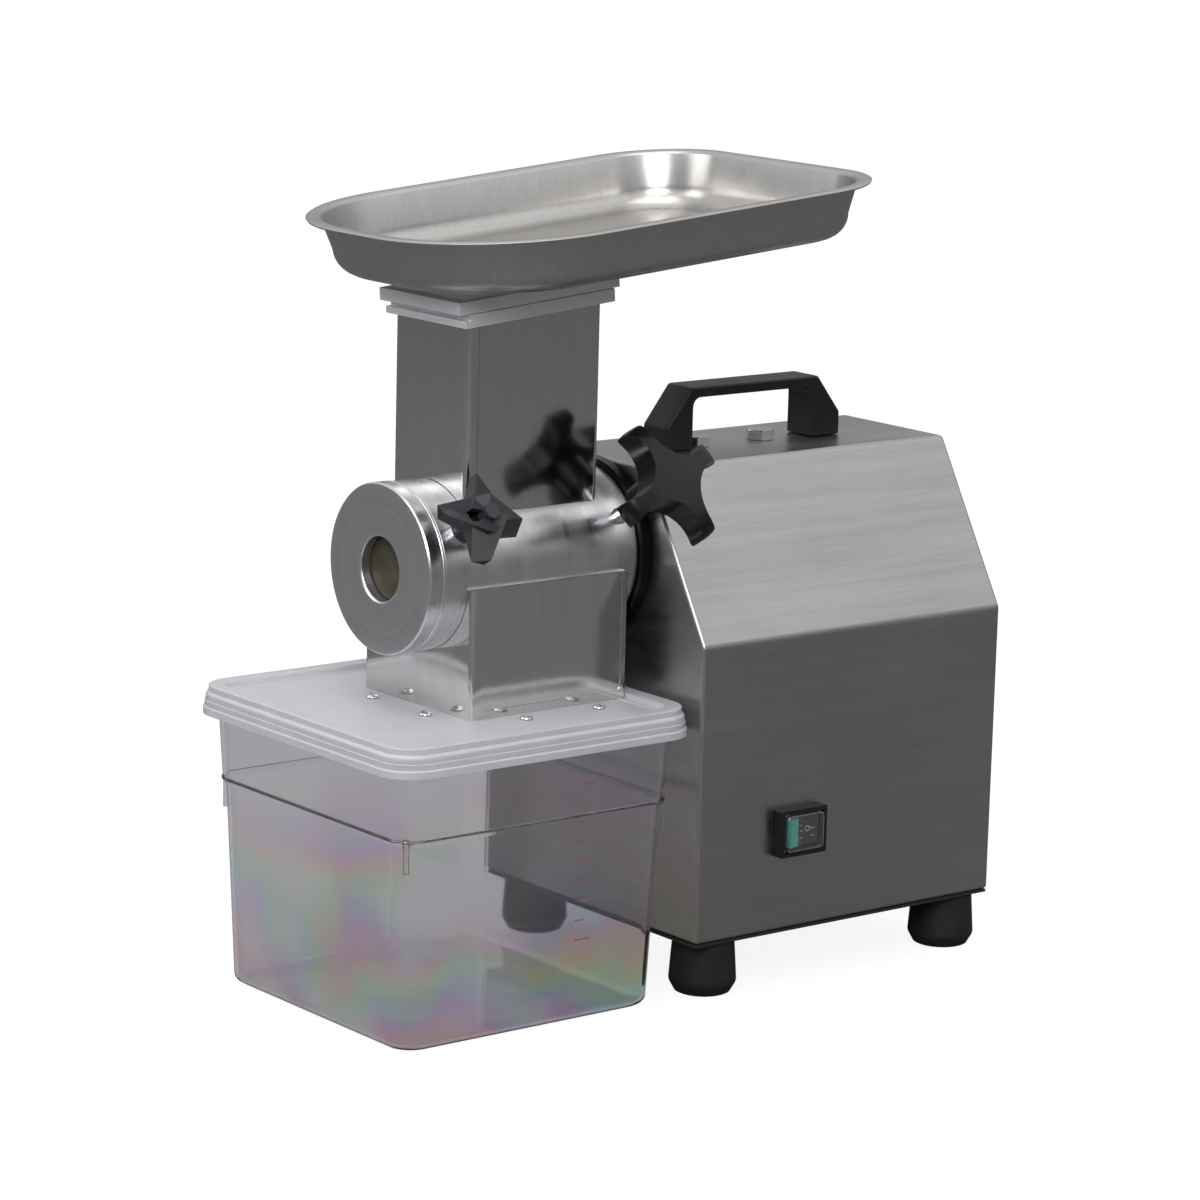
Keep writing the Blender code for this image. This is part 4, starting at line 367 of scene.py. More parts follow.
def shell(piece, thickness, offset=-1.0):
    return apply(piece, "SOLIDIFY", thickness=thickness, offset=offset, use_even_offset=True)


def ease(piece, width, segments=3, angle=30):
    """Rounds the edges that are sharper than an angle."""
    return apply(
        piece, "BEVEL", width=width, segments=segments, limit_method="ANGLE", angle_limit=radians(angle),
        harden_normals=False, use_clamp_overlap=True,
    )


def slice_off(piece, point, normal):
    """Cuts away what lies beyond a plane and closes the cut."""
    edit(piece)
    bpy.ops.mesh.bisect(plane_co=point, plane_no=normal, use_fill=True, clear_outer=True)
    leave()
    return piece


def weld(piece, distance=0.00001):
    edit(piece)
    bpy.ops.mesh.remove_doubles(threshold=distance)
    bpy.ops.mesh.normals_make_consistent(inside=False)
    leave()
    return piece


def dress(piece, finish, body, nodes=(), angle=32, weighted=True):
    """Shades a finished piece, gives it its material and its body, and hides the parts it stands for."""
    activate(piece)
    bpy.ops.object.shade_smooth_by_angle(angle=radians(angle))
    if weighted:
        apply(piece, "WEIGHTED_NORMAL", keep_sharp=True, weight=80)
    piece.data.materials.clear()
    piece.data.materials.append(finish)
    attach(piece, body)
    if nodes:
        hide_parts(*nodes)
    return piece


# Shader boards

class Board:
    """Adds and links nodes in one tree."""

    def __init__(self, tree):
        self.tree = tree

    def add(self, kind, **settings):
        node = self.tree.nodes.new(kind)
        for key, value in settings.items():
            setattr(node, key, value)
        return node

    def put(self, socket, value):
        if isinstance(value, bpy.types.NodeSocket):
            self.tree.links.new(value, socket)
        else:
            socket.default_value = value

    def sum(self, operation, *values):
        node = self.add("ShaderNodeMath", operation=operation)
        for socket, value in zip(node.inputs, values):
            self.put(socket, value)
        return node.outputs[0]

    def vector(self, operation, *values):
        node = self.add("ShaderNodeVectorMath", operation=operation)
        for socket, value in zip(node.inputs, values):
            self.put(socket, value)
        return node.outputs[0]

    def noise(self, place, scale, detail=3.0, roughness=0.55):
        node = self.add("ShaderNodeTexNoise")
        self.put(node.inputs["Vector"], place)
        self.put(node.inputs["Scale"], scale)
        node.inputs["Detail"].default_value = detail
        node.inputs["Roughness"].default_value = roughness
        return node.outputs["Fac"]

    def span(self, value, low, high, start=0.3, end=0.7):
        """Maps a value from one range to another."""
        node = self.add("ShaderNodeMapRange")
        self.put(node.inputs["Value"], value)
        for key, number in (("From Min", start), ("From Max", end), ("To Min", low), ("To Max", high)):
            self.put(node.inputs[key], number)
        return node.outputs["Result"]

    def blend(self, factor, first, second, mode="MIX"):
        node = self.add("ShaderNodeMix", data_type="RGBA", blend_type=mode)
        self.put(node.inputs["Factor"], factor)
        self.put(node.inputs[6], first)
        self.put(node.inputs[7], second)
        return node.outputs[2]

    def bump(self, height, strength, distance, normal=None):
        node = self.add("ShaderNodeBump")
        self.put(node.inputs["Height"], height)
        node.inputs["Strength"].default_value = strength
        node.inputs["Distance"].default_value = distance
        if normal is not None:
            self.put(node.inputs["Normal"], normal)
        return node.outputs["Normal"]


def group(name, inputs, outputs, build):
    """A node group made once: its sockets, then its nodes."""
    tree = bpy.data.node_groups.get(name)
    if tree is None:
        tree = bpy.data.node_groups.new(name, "ShaderNodeTree")
        for label, kind, value in inputs:
            socket = tree.interface.new_socket(label, in_out="INPUT", socket_type=kind)
            if value is not None:
                socket.default_value = value
        for label, kind in outputs:
            tree.interface.new_socket(label, in_out="OUTPUT", socket_type=kind)
        board = Board(tree)
        build(board, board.add("NodeGroupInput").outputs, board.add("NodeGroupOutput").inputs)
    return tree


def build_grain(board, given, result):
    stretched = board.vector("MULTIPLY", given["Place"], given["Stretch"])
    wide = board.vector("SCALE", stretched)
    wide.node.inputs["Scale"].default_value = 0.16
    board.put(result["Fine"], board.noise(stretched, 1.0, 4.0, 0.65))
    board.put(result["Broad"], board.noise(wide, 1.0, 2.0))
    board.put(result["Smudge"], board.noise(given["Place"], 14.0, 3.0))


def build_turning(board, given, result):
    parts = board.add("ShaderNodeSeparateXYZ")
    board.put(parts.inputs[0], given["Place"])
    height = board.sum("SUBTRACT", parts.outputs[2], given["Axis Height"])
    width = board.sum("MULTIPLY", parts.outputs[0], parts.outputs[0])
    square = board.sum("ADD", width, board.sum("MULTIPLY", height, height))
    join_up = board.add("ShaderNodeCombineXYZ")
    board.put(join_up.inputs[0], board.sum("SQRT", square))
    board.put(join_up.inputs[1], parts.outputs[1])
    board.put(result["Groove"], board.noise(join_up.outputs[0], given["Pitch"], 3.0, 0.7))
    broad = board.sum("MULTIPLY", given["Pitch"], 0.09)
    board.put(result["Band"], board.noise(join_up.outputs[0], broad, 2.0))


def build_wear(board, given, result):
    patches = board.noise(given["Place"], 55.0, 5.0, 0.6)
    specks = board.noise(given["Place"], 900.0, 2.0, 0.5)
    board.put(result["Dust"], board.span(patches, 0.0, 1.0, 0.42, 0.75))
    board.put(result["Speck"], specks)


def grain_tree():
    return group(
        "directional_grain",
        [("Place", "NodeSocketVector", None), ("Stretch", "NodeSocketVector", (1.0, 1.0, 1.0))],
        [("Fine", "NodeSocketFloat"), ("Broad", "NodeSocketFloat"), ("Smudge", "NodeSocketFloat")],
        build_grain,
    )


def turning_tree():
    return group(
        "turning_marks",
        [
            ("Place", "NodeSocketVector", None), ("Axis Height", "NodeSocketFloat", AXIS_Z),
            ("Pitch", "NodeSocketFloat", 900.0),
        ],
        [("Groove", "NodeSocketFloat"), ("Band", "NodeSocketFloat")],
        build_turning,
    )


def wear_tree():
    return group(
        "handling_wear",
        [("Place", "NodeSocketVector", None)],
        [("Dust", "NodeSocketFloat"), ("Speck", "NodeSocketFloat")],
        build_wear,
    )


def place_group(board, tree, place):
    node = board.add("ShaderNodeGroup", node_tree=tree)
    board.put(node.inputs["Place"], place)
    return node


def start_material(name, roughness, metallic):
    """A new material with its board, shader and object coordinates; one that exists comes back alone."""
    found = bpy.data.materials.get(name + "_finish")
    if found is not None:
        return found, None, None, None
    found = bpy.data.materials.new(name + "_finish")
    found.use_nodes = True
    board = Board(found.node_tree)
    shader = found.node_tree.nodes["Principled BSDF"]
    shader.inputs["Roughness"].default_value = roughness
    shader.inputs["Metallic"].default_value = metallic
    place = board.add("ShaderNodeTexCoord").outputs["Object"]
    return found, board, shader, place


def paint(colour, share=1.0):
    return tuple(min(1.0, part * share) for part in colour) + (1.0,)


def brushed(name, colour, stretch, roughness, depth=0.05, spread=0.10):
    """Steel or aluminium with a one-way grain."""
    found, board, shader, place = start_material(name, roughness, 1.0)
    if board is None:
        return found
    grain = place_group(board, grain_tree(), place)
    grain.inputs["Stretch"].default_value = stretch
    lines = board.span(grain.outputs["Fine"], 0.0, 1.0, 0.35, 0.65)
    tone = board.blend(lines, paint(colour, 0.95), paint(colour, 1.04))
    cloud = board.span(grain.outputs["Broad"], 0.0, 0.22, 0.4, 0.7)
    tone = board.blend(cloud, tone, paint(colour, 0.86))
    board.put(shader.inputs["Base Color"], tone)
    rough = board.span(grain.outputs["Broad"], roughness - spread / 2, roughness + spread / 2, 0.3, 0.7)
    rough = board.sum("ADD", rough, board.span(grain.outputs["Smudge"], -0.02, 0.05, 0.35, 0.7))
    board.put(shader.inputs["Roughness"], rough)
    board.put(shader.inputs["Normal"], board.bump(grain.outputs["Fine"], depth, 0.0004))
    return found


def turned_metal(name, colour, roughness, pitch=900.0, depth=0.035, axis_z=AXIS_Z):
    """Lathe-turned metal with rings round the barrel's axis."""
    found, board, shader, place = start_material(name, roughness, 1.0)
    if board is None:
        return found
    marks = place_group(board, turning_tree(), place)
    marks.inputs["Axis Height"].default_value = axis_z
    marks.inputs["Pitch"].default_value = pitch
    lines = board.span(marks.outputs["Groove"], 0.0, 1.0, 0.35, 0.65)
    board.put(shader.inputs["Base Color"], board.blend(lines, paint(colour, 0.96), paint(colour, 1.03)))
    rough = board.span(marks.outputs["Band"], roughness - 0.05, roughness + 0.08, 0.35, 0.65)
    board.put(shader.inputs["Roughness"], rough)
    board.put(shader.inputs["Normal"], board.bump(marks.outputs["Groove"], depth, 0.0004))
    return found


def moulded(name, colour, roughness, grain=0.0, coat=0.0, dust=0.0, metallic=0.0):
    """Plastic, rubber or paint with a fine texture and a little handling wear."""
    found, board, shader, place = start_material(name, roughness, metallic)
    if board is None:
        return found
    wear = place_group(board, wear_tree(), place)
    dusty = board.span(wear.outputs["Dust"], 0.0, dust, 0.0, 1.0)
    board.put(shader.inputs["Base Color"], board.blend(dusty, paint(colour), paint(colour, 2.2)))
    rough = board.span(wear.outputs["Dust"], roughness - 0.04, roughness + 0.10, 0.0, 1.0)
    board.put(shader.inputs["Roughness"], rough)
    shader.inputs["Coat Weight"].default_value = coat
    shader.inputs["Coat Roughness"].default_value = 0.08
    shader.inputs["Specular IOR Level"].default_value = 0.3
    if grain:
        board.put(shader.inputs["Normal"], board.bump(wear.outputs["Speck"], grain, 0.0003))
    return found


def clear_plastic(name, colour, roughness, ior, rainbow=0.0):
    """Clear moulded plastic; its stress colours are faint bands in what it lets through."""
    found, board, shader, place = start_material(name, roughness, 0.0)
    if board is None:
        return found
    shader.inputs["Transmission Weight"].default_value = 1.0
    shader.inputs["IOR"].default_value = ior
    if rainbow:
        warp = board.noise(place, 9.0, 2.0)
        parts = board.add("ShaderNodeSeparateXYZ")
        board.put(parts.inputs[0], place)
        level = board.sum("MULTIPLY", parts.outputs[2], 9.0)
        phase = board.sum("ADD", level, board.sum("MULTIPLY", warp, 3.2))
        bands = board.add("ShaderNodeCombineXYZ")
        for index, offset in enumerate((0.0, 2.1, 4.2)):
            wave = board.sum("SINE", board.sum("ADD", board.sum("MULTIPLY", phase, 6.0), offset))
            board.put(bands.inputs[index], board.span(wave, 0.25, 1.0, -1.0, 1.0))
        low = board.span(parts.outputs[2], rainbow, 0.0, 0.07, 0.125)
        patch = board.sum("MULTIPLY", low, board.span(board.noise(place, 13.0, 1.0), 0.0, 1.0, 0.40, 0.60))
        tint = board.blend(patch, paint(colour), bands.outputs[0], "MULTIPLY")
        board.put(shader.inputs["Base Color"], tint)
    else:
        shader.inputs["Base Color"].default_value = paint(colour)
    return found


def milky_plastic():
    """The lid's cloudy plastic: part of the light passes, part scatters."""
    colour = colours().lid
    found, board, shader, place = start_material("milky_lid", 0.34, 0.0)
    if board is None:
        return found
    shader.inputs["Transmission Weight"].default_value = 0.55
    shader.inputs["IOR"].default_value = 1.48
    wear = place_group(board, wear_tree(), place)
    tone = board.blend(wear.outputs["Dust"], paint(colour), paint(colour, 1.06))
    board.put(shader.inputs["Base Color"], tone)
    board.put(shader.inputs["Roughness"], board.span(wear.outputs["Dust"], 0.30, 0.42, 0.0, 1.0))
    board.put(shader.inputs["Normal"], board.bump(wear.outputs["Speck"], 0.03, 0.0002))
    return found


def steel_finish():
    return brushed("brushed_stainless", colours().steel, (260.0, 22.0, 900.0), 0.33)


def polished_finish():
    return brushed("polished_stainless", colours().polished, (700.0, 700.0, 30.0), 0.10, 0.006, 0.03)


def pan_finish():
    return brushed("pan_stainless", colours().pan, (420.0, 420.0, 22.0), 0.30, 0.03, 0.04)


def turned_finish():
    return turned_metal("turned_aluminium", colours().aluminium, 0.30)


def satin_finish():
    found = brushed("satin_aluminium", colours().satin, (40.0, 40.0, 700.0), 0.50, 0.04)
    found.node_tree.nodes["Principled BSDF"].inputs["Metallic"].default_value = 0.45
    return found


def black_finish():
    return moulded("satin_black_plastic", colours().black, 0.42, 0.10, 0.0, 0.35)


def gloss_finish():
    return moulded("gloss_black_plastic", paint(colours().black, 0.6)[:3], 0.20, 0.0, 0.0, 0.1)


def rocker_finish():
    """Green at its front end, dark behind with a plain 0 and ticks."""
    found, board, shader, place = start_material("switch_rocker_plastic", 0.28, 0.0)
    if board is None:
        return found
    parts = board.add("ShaderNodeSeparateXYZ")
    board.put(parts.inputs[0], place)
    along, up = parts.outputs[1], parts.outputs[2]
    flat = board.add("ShaderNodeCombineXYZ")
    board.put(flat.inputs[0], board.sum("SUBTRACT", along, SWITCH_Y + 0.0045))
    board.put(flat.inputs[1], board.sum("SUBTRACT", up, SWITCH_Z + 0.0012))
    reach = board.vector("LENGTH", flat.outputs[0]).node.outputs["Value"]
    marks = board.sum("COMPARE", reach, 0.0016, 0.00032)
    for start, end, height in (
        (-0.0032, -0.0002, 0.0040), (-0.0032, 0.0004, 0.0002), (-0.0032, 0.0004, -0.0042),
        (0.0066, 0.0102, 0.0012), (0.0070, 0.0102, -0.0036),
    ):
        row = board.sum("COMPARE", up, SWITCH_Z + height, 0.0002)
        reach = board.sum("COMPARE", along, SWITCH_Y + (start + end) / 2, (end - start) / 2)
        marks = board.sum("MAXIMUM", marks, board.sum("MULTIPLY", row, reach))
    dark = board.blend(marks, (0.010, 0.014, 0.014, 1.0), (0.55, 0.60, 0.60, 1.0))
    front = board.sum("LESS_THAN", along, SWITCH_Y - 0.0043)
    board.put(shader.inputs["Base Color"], board.blend(front, dark, paint(colours().rocker)))
    wear = place_group(board, wear_tree(), place)
    board.put(shader.inputs["Roughness"], board.span(wear.outputs["Dust"], 0.22, 0.36, 0.0, 1.0))
    return found


def rubber_finish():
    return moulded("black_rubber", colours().rubber, 0.62, 0.16, 0.0, 0.5)


def hub_finish():
    return turned_metal("black_hub", (0.030, 0.028, 0.028), 0.36, 700.0, 0.05)


def screw_finish():
    return brushed("bright_screw", (0.70, 0.70, 0.71), (300.0, 300.0, 300.0), 0.20, 0.02, 0.05)


# Housing

def roof_normal():
    """The right slope's normal."""
    return Vector((SLOPE_DROP, 0, HALF_WIDTH - HALF_ROOF)).normalized()


class GRINDER_OT_housing(bpy.types.Operator):
    """Folds the housing from one box and opens its holes"""

    bl_idname = "grinder.housing"
    bl_label = "Housing"

    def execute(self, context):
        size = sizes()
        body = box("housing_skin", (-HALF_WIDTH, FRONT_Y, BASE_Z), (HALF_WIDTH, REAR_Y, ROOF_Z))
        way = roof_normal()
        slice_off(body, (HALF_ROOF, 0, ROOF_Z), way)
        slice_off(body, (-HALF_ROOF, 0, ROOF_Z), (-way.x, 0, way.z))
        ease(body, size.fold, 5, 15)
        pick(body, "FACE", lambda _, normal: normal.z < -0.99)
        bpy.ops.mesh.inset(thickness=0.034, use_even_offset=True)
        bpy.ops.mesh.delete(type="FACE")
        leave()
        shell(body, size.sheet)
        cut(body, drum("cut_nose", 0.0309, -0.004, 0.004, along_y(0, FRONT_Y)))
        for _, y in HANGERS:
            spot = Matrix.Translation((0, y, 0))
            cut(body, drum("cut_hanger", 0.0053, ROOF_Z - 0.004, ROOF_Z + 0.004, spot, 24))
        half_long, half_high = 0.0151, 0.0108
        cut(body, box(
            "cut_switch", (HALF_WIDTH - 0.005, SWITCH_Y - half_long, SWITCH_Z - half_high),
            (HALF_WIDTH + 0.003, SWITCH_Y + half_long, SWITCH_Z + half_high),
        ))
        cut(body, box("cut_inlet", (-0.0758, REAR_Y - 0.004, 0.0637), (-0.0282, REAR_Y + 0.004, 0.0913)))
        pitch, half, low, high = 0.011, 0.0022, 0.1425, 0.1925
        for index in range(7):
            x = (index - 3) * pitch
            slot = box("cut_vent", (x - half, REAR_Y - 0.004, low), (x + half, REAR_Y + 0.004, high))
            round_edges(slot, "y", 0.0021, 4)
            cut(body, slot)
        dress(body, steel_finish(), "base", ["housing_shell"], 25)
        return {"FINISHED"}


class GRINDER_OT_feet(bpy.types.Operator):
    """Turns one rubber foot and copies it to the four corners"""

    bl_idname = "grinder.feet"
    bl_label = "Feet"

    def execute(self, context):
        profile = [
            (0.0080, 0.0), (0.0165, 0.0), (0.0178, 0.0006), (0.0210, 0.0062), (0.0215, 0.0080),
            (0.0214, 0.0100), (0.0197, 0.0342), (0.0190, 0.0350), (0.0043, 0.0350), (0.0043, 0.0220),
            (0.0080, 0.0220),
        ]
        first = turned("foot_pattern", profile, UPRIGHT, 64, ring=True)
        for name in ("front_left", "front_right", "rear_left", "rear_right"):
            foot = copied(first, "rubber_foot_" + name, middle_of("foot_" + name))
            dress(foot, rubber_finish(), "base", ["foot_" + name])
        bpy.data.objects.remove(first)
        return {"FINISHED"}


class GRINDER_OT_handle(bpy.types.Operator):
    """Cuts the carrying handle from a block and rounds its edges"""

    bl_idname = "grinder.handle"
    bl_label = "Handle"

    def execute(self, context):
        start, end, top = 0.0346, 0.1792, ROOF_Z + 0.0402
        base = ROOF_Z + GAP
        bar = box("carry_handle", (-0.0125, start, base), (0.0125, end, top))
        for y, side in ((start, -1), (end, 1)):
            slice_off(bar, (0, y, base + 0.015), (0, side * 0.0225, 0.0175))
            slice_off(bar, (0, y - side * 0.0175, base + 0.0375), (0, side * 0.0024, 0.0070))
        grip = box("cut_grip", (-0.02, start + 0.0214, base - 0.01), (0.02, end - 0.0242, top - 0.0070))
        round_edges(grip, "x", 0.006, 6, lambda middle: middle.z > base)
        cut(bar, grip)
        ease(bar, sizes().handle_edge, 3)
        dress(bar, black_finish(), "base", ["handle"])
        return {"FINISHED"}


class GRINDER_OT_hanger_bolts(bpy.types.Operator):
    """Makes the two hexagon heads on the roof"""

    bl_idname = "grinder.hanger_bolts"
    bl_label = "Roof bolts"

    def execute(self, context):
        for name, y in HANGERS:
            seat = ROOF_Z + GAP
            head = drum("hex_bolt_" + name, 0.0098, seat, seat + 0.0064, Matrix.Translation((0, y, 0)), 6)
            crown = turned(
                "crown", [(0.0120, seat - 0.002), (0.0120, seat + 0.0044), (0.0086, seat + 0.0064)],
                Matrix.Translation((0, y, 0)), 48,
            )
            combine(head, crown, "INTERSECT")
            join(head, drum("shank", 0.005, ROOF_Z - 0.0095, seat + 0.001, Matrix.Translation((0, y, 0)), 32))
            ease(head, 0.0003, 2)
            dress(head, screw_finish(), "base", ["hanger_bolt_" + name])
        return {"FINISHED"}


class GRINDER_OT_switch(bpy.types.Operator):
    """Makes the switch's collar and the clear dome over its rocker"""

    bl_idname = "grinder.switch"
    bl_label = "Switch"

    def execute(self, context):
        place = side_frame(SWITCH_Y, SWITCH_Z)
        collar = box("switch_collar", (-0.01875, -0.01525, 0.0003), (0.01875, 0.01525, 0.0080))
        round_edges(collar, "z", 0.0014, 4)
        join(collar, box("switch_back", (-0.015, -0.01075, -0.024), (0.015, 0.01075, 0.001)))
        ease(collar, 0.0004, 2)
        cut(collar, box("well", (-0.0138, -0.0096, -0.0025), (0.0138, 0.0096, 0.012)))
        cut(collar, box("ledge", (-0.0159, -0.0125, 0.0060), (0.0159, 0.0125, 0.012)))
        set_place(collar, place)
        dress(collar, black_finish(), "base", ["switch_body"])
        cover = plate("switch_dome", 0.0156, 0.0122, all_corners(0.0035), steps=6)
        edit(cover)
        rise((0, 0.0025), (0.0003, 0.0006), (0.0004, 0.0005), (0.0005, 0.0003), (0.0012, 0.0002))
        leave()
        open_up(cover, lambda middle, normal: abs(normal.z) > 0.9 and abs(middle.z) < FLAT)
        shell(cover, 0.0007, -1.0)
        set_place(cover, side_frame(SWITCH_Y, SWITCH_Z, 0.0063))
        dress(cover, clear_plastic("clear_cover", (0.93, 0.96, 0.95), 0.05, 1.46), "base", ["switch_cover"])
        return {"FINISHED"}


class GRINDER_OT_hub(bpy.types.Operator):
    """Turns the black nose that carries the barrel"""

    bl_idname = "grinder.hub"
    bl_label = "Drive hub"

    def execute(self, context):
        profile = [
            (0.0213, -0.0405), (0.0492, -0.0405), (0.0492, -0.0185), (0.0550, -0.0185), (0.0560, -0.0175),
            (0.0560, -0.0110), (0.0553, -0.0103), (0.0306, -0.0103), (0.0306, -0.0022), (0.0213, -0.0022),
            (0.0213, -0.0148), (0.0160, -0.0148), (0.0160, -0.0349), (0.0213, -0.0349),
        ]
        hub = turned("nose_hub", profile, along_y(), FINE, ring=True)
        dress(hub, hub_finish(), "base", ["drive_hub"])
        return {"FINISHED"}


# Barrel, cap and bush

class GRINDER_OT_barrel(bpy.types.Operator):
    """Turns the barrel, opens it above and below and adds the star screw's boss"""

    bl_idname = "grinder.barrel"
    bl_label = "Barrel"

    def execute(self, context):
        low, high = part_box("grinding_barrel")
        front, rear = low.y, high.y
        edge = sizes().machined_edge
        profile = [
            (0.0495, front), (BARREL_RADIUS - edge, front), (BARREL_RADIUS, front + edge),
            (BARREL_RADIUS, rear - edge), (BARREL_RADIUS - edge, rear), (0.0495, rear),
        ]
        tube = turned("barrel_tube", profile, along_y(), FINE, ring=True)
        boss = turned("boss", [(0.0065, 0.0505), (0.0065, 0.0600), (0.0060, 0.0605)], outward(STAR_Y, 0), 40)
        join(tube, boss)
        for y, radius in ((STAR_Y, 0.0043), (CLAMP_Y, 0.0053)):
            cut(tube, drum("thread", radius, 0.045, 0.065, outward(y, 0), 32))
        cut(tube, box("mouth", (-0.0363, NECK_Y - 0.049, AXIS_Z), (0.0363, NECK_Y + 0.049, AXIS_Z + 0.06)))
        cut(tube, box("discharge", (-0.045, -0.1411, AXIS_Z - 0.06), (0.045, -0.0351, AXIS_Z)))
        dress(tube, turned_finish(), "head", ["grinding_barrel"], weighted=False)
        return {"FINISHED"}


class GRINDER_OT_front_cap(bpy.types.Operator):
    """Turns the end cap and its olive bush"""

    bl_idname = "grinder.front_cap"
    bl_label = "Front cap"

    def execute(self, context):
        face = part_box("front_cap")[0].y
        rear = face + 0.0121
        profile = [
            (0.0212, face + 0.0001), (0.0516, face), (0.0522, face + 0.0002), (0.0530, face + 0.0012),
            (0.0530, face + 0.0093), (0.0526, face + 0.0098), (0.0526, face + 0.0104),
            (0.0530, face + 0.0109), (0.0530, rear - 0.0003), (0.0527, rear), (0.0492, rear),
            (0.0492, rear + 0.018), (0.0200, rear + 0.018), (0.0200, face + 0.0012), (0.0203, face + 0.0006),
        ]
        cap = turned("end_cap", profile, along_y(), FINE, ring=True)
        finish = turned_metal("turned_cap", colours().aluminium, 0.27, 1500.0, 0.05)
        dress(cap, finish, "cap", ["front_cap"], 20)
        start = face + 0.0075
        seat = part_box("cap_bush")[1].y
        cup = [
            (0.0120, start + 0.0035), (0.0005, start + 0.0035), (0.0005, start + 0.0004),
            (0.0170, start + 0.0004), (0.0190, start), (0.0197, start + 0.0005), (0.0197, seat - 0.0015),
            (0.0240, seat - 0.0015), (0.0240, seat), (0.0123, seat), (0.0123, start + 0.0035),
        ]
        bush = turned("olive_bush", cup, along_y(), 96)
        dress(bush, moulded("bush_plastic", colours().bush, 0.50, 0.08, 0.0, 0.5), "cap", ["cap_bush"])
        return {"FINISHED"}


# Neck, collar, spout and tray

class GRINDER_OT_neck(bpy.types.Operator):
    """Folds the feed neck and saddles it on the barrel"""

    bl_idname = "grinder.neck"
    bl_label = "Feed neck"

    def execute(self, context):
        low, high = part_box("feed_neck")
        tube = box("neck_tube", (low.x, low.y, low.z - 0.03), (high.x, high.y, high.z + 0.02))
        round_edges(tube, "z", sizes().neck_corner, 6)
        top = Vector((0, NECK_Y, COLLAR_Z + COLLAR_HEIGHT / cos(FEED_SLOPE)))
        slice_off(tube, top, (0, -sin(FEED_SLOPE), cos(FEED_SLOPE)))
        open_up(tube, lambda middle, normal: abs(normal.z) > 0.9)
        shell(tube, 0.002)
        weld(tube)
        cut(tube, drum("saddle", SADDLE_RADIUS, -0.25, 0.05, along_y()))
        cut(tube, box("under", (-0.06, -0.2, 0.15), (0.06, 0.02, AXIS_Z)))
        cut(tube, box("seam", (high.x - 0.0005, low.y + 0.0075, 0.2), (high.x + 0.001, low.y + 0.0085, 0.5)))
        ease(tube, 0.0003, 2)
        dress(tube, polished_finish(), "head", ["feed_neck"])
        return {"FINISHED"}


class GRINDER_OT_collar(bpy.types.Operator):
    """Mills the collar round the neck's mouth"""

    bl_idname = "grinder.collar"
    bl_label = "Neck collar"

    def execute(self, context):
        place = feed_frame(0)
        ring = box("mouth_collar", (-0.0415, -0.0555, 0), (0.0415, 0.0585, COLLAR_HEIGHT), place)
        hole = box("hole", (-MOUTH_X, NECK_Y - MOUTH_Y, 0.38), (MOUTH_X, NECK_Y + MOUTH_Y, 0.48))
        round_edges(hole, "z", 0.0048, 6)
        cut(ring, hole)
        cut(ring, box("slot", (-0.05, -0.07, 0.0045), (0.05, -0.0516, 0.02), place))
        ease(ring, 0.0005, 2)
        dress(ring, satin_finish(), "head", ["neck_collar"])
        return {"FINISHED"}


class GRINDER_OT_spout(bpy.types.Operator):
    """Mills the flange and riser under the tray"""

    bl_idname = "grinder.spout"
    bl_label = "Tray spout"

    def execute(self, context):
        place = feed_frame(SPOUT_RISE)
        block = box("spout_flange", (-0.0415, -0.0595, 0), (0.0415, 0.0625, 0.008))
        join(block, box("riser", (-0.0375, -0.052, 0.004), (0.0375, 0.052, SPOUT_HEIGHT)))
        opening = box("opening", OPENING[0], OPENING[1] + (0.03,))
        round_edges(opening, "z", 0.008, 8)
        cut(block, opening)
        ease(block, 0.0005, 2)
        set_place(block, place)
        dress(block, satin_finish(), "tray", ["tray_spout"])
        return {"FINISHED"}


class GRINDER_OT_tray(bpy.types.Operator):
    """Presses the pan from one rounded sheet"""

    bl_idname = "grinder.tray"
    bl_label = "Tray"

    def execute(self, context):
        size = sizes()
        rim, draft, bend, deep = 0.0105, 0.0060, size.pan_bend, 0.036
        sheet = size.pan_sheet
        corners = {(-1, -1): 0.099, (1, -1): 0.099, (1, 1): 0.0595, (-1, 1): 0.0595}
        pan = plate("feed_pan", 0.1195, 0.16935, corners, (0, 0.065), deep - 0.001, 24)
        edit(pan)
        rise((0.0012, 0.0007), (0.0022, 0.0003), (rim - 0.0064, -0.0002))
        rise((0.0018, -0.0008), (0.0012, -0.0016))
        wall = deep - 0.001 - 0.0016 - bend - sheet
        rise((draft * 0.5, -wall * 0.5), (draft * 0.5, -wall * 0.5))
        steps = 8
        for index in range(steps):
            first = pi / 2 * index / steps
            second = pi / 2 * (index + 1) / steps
            rise((bend * (cos(first) - cos(second)), -bend * (sin(second) - sin(first))))
        leave()
        shell(pan, sheet)
        opening = box("opening", OPENING[0], OPENING[1] + (0.015,))
        round_edges(opening, "z", 0.008, 8)
        cut(pan, opening)
        low = min(vertex.co.z for vertex in pan.data.vertices)
        set_place(pan, feed_frame(SPOUT_RISE + SPOUT_HEIGHT + GAP) @ Matrix.Translation((0, 0, -low)))
        dress(pan, pan_finish(), "tray", ["tray"], 40)
        return {"FINISHED"}


# Chute, lid and container

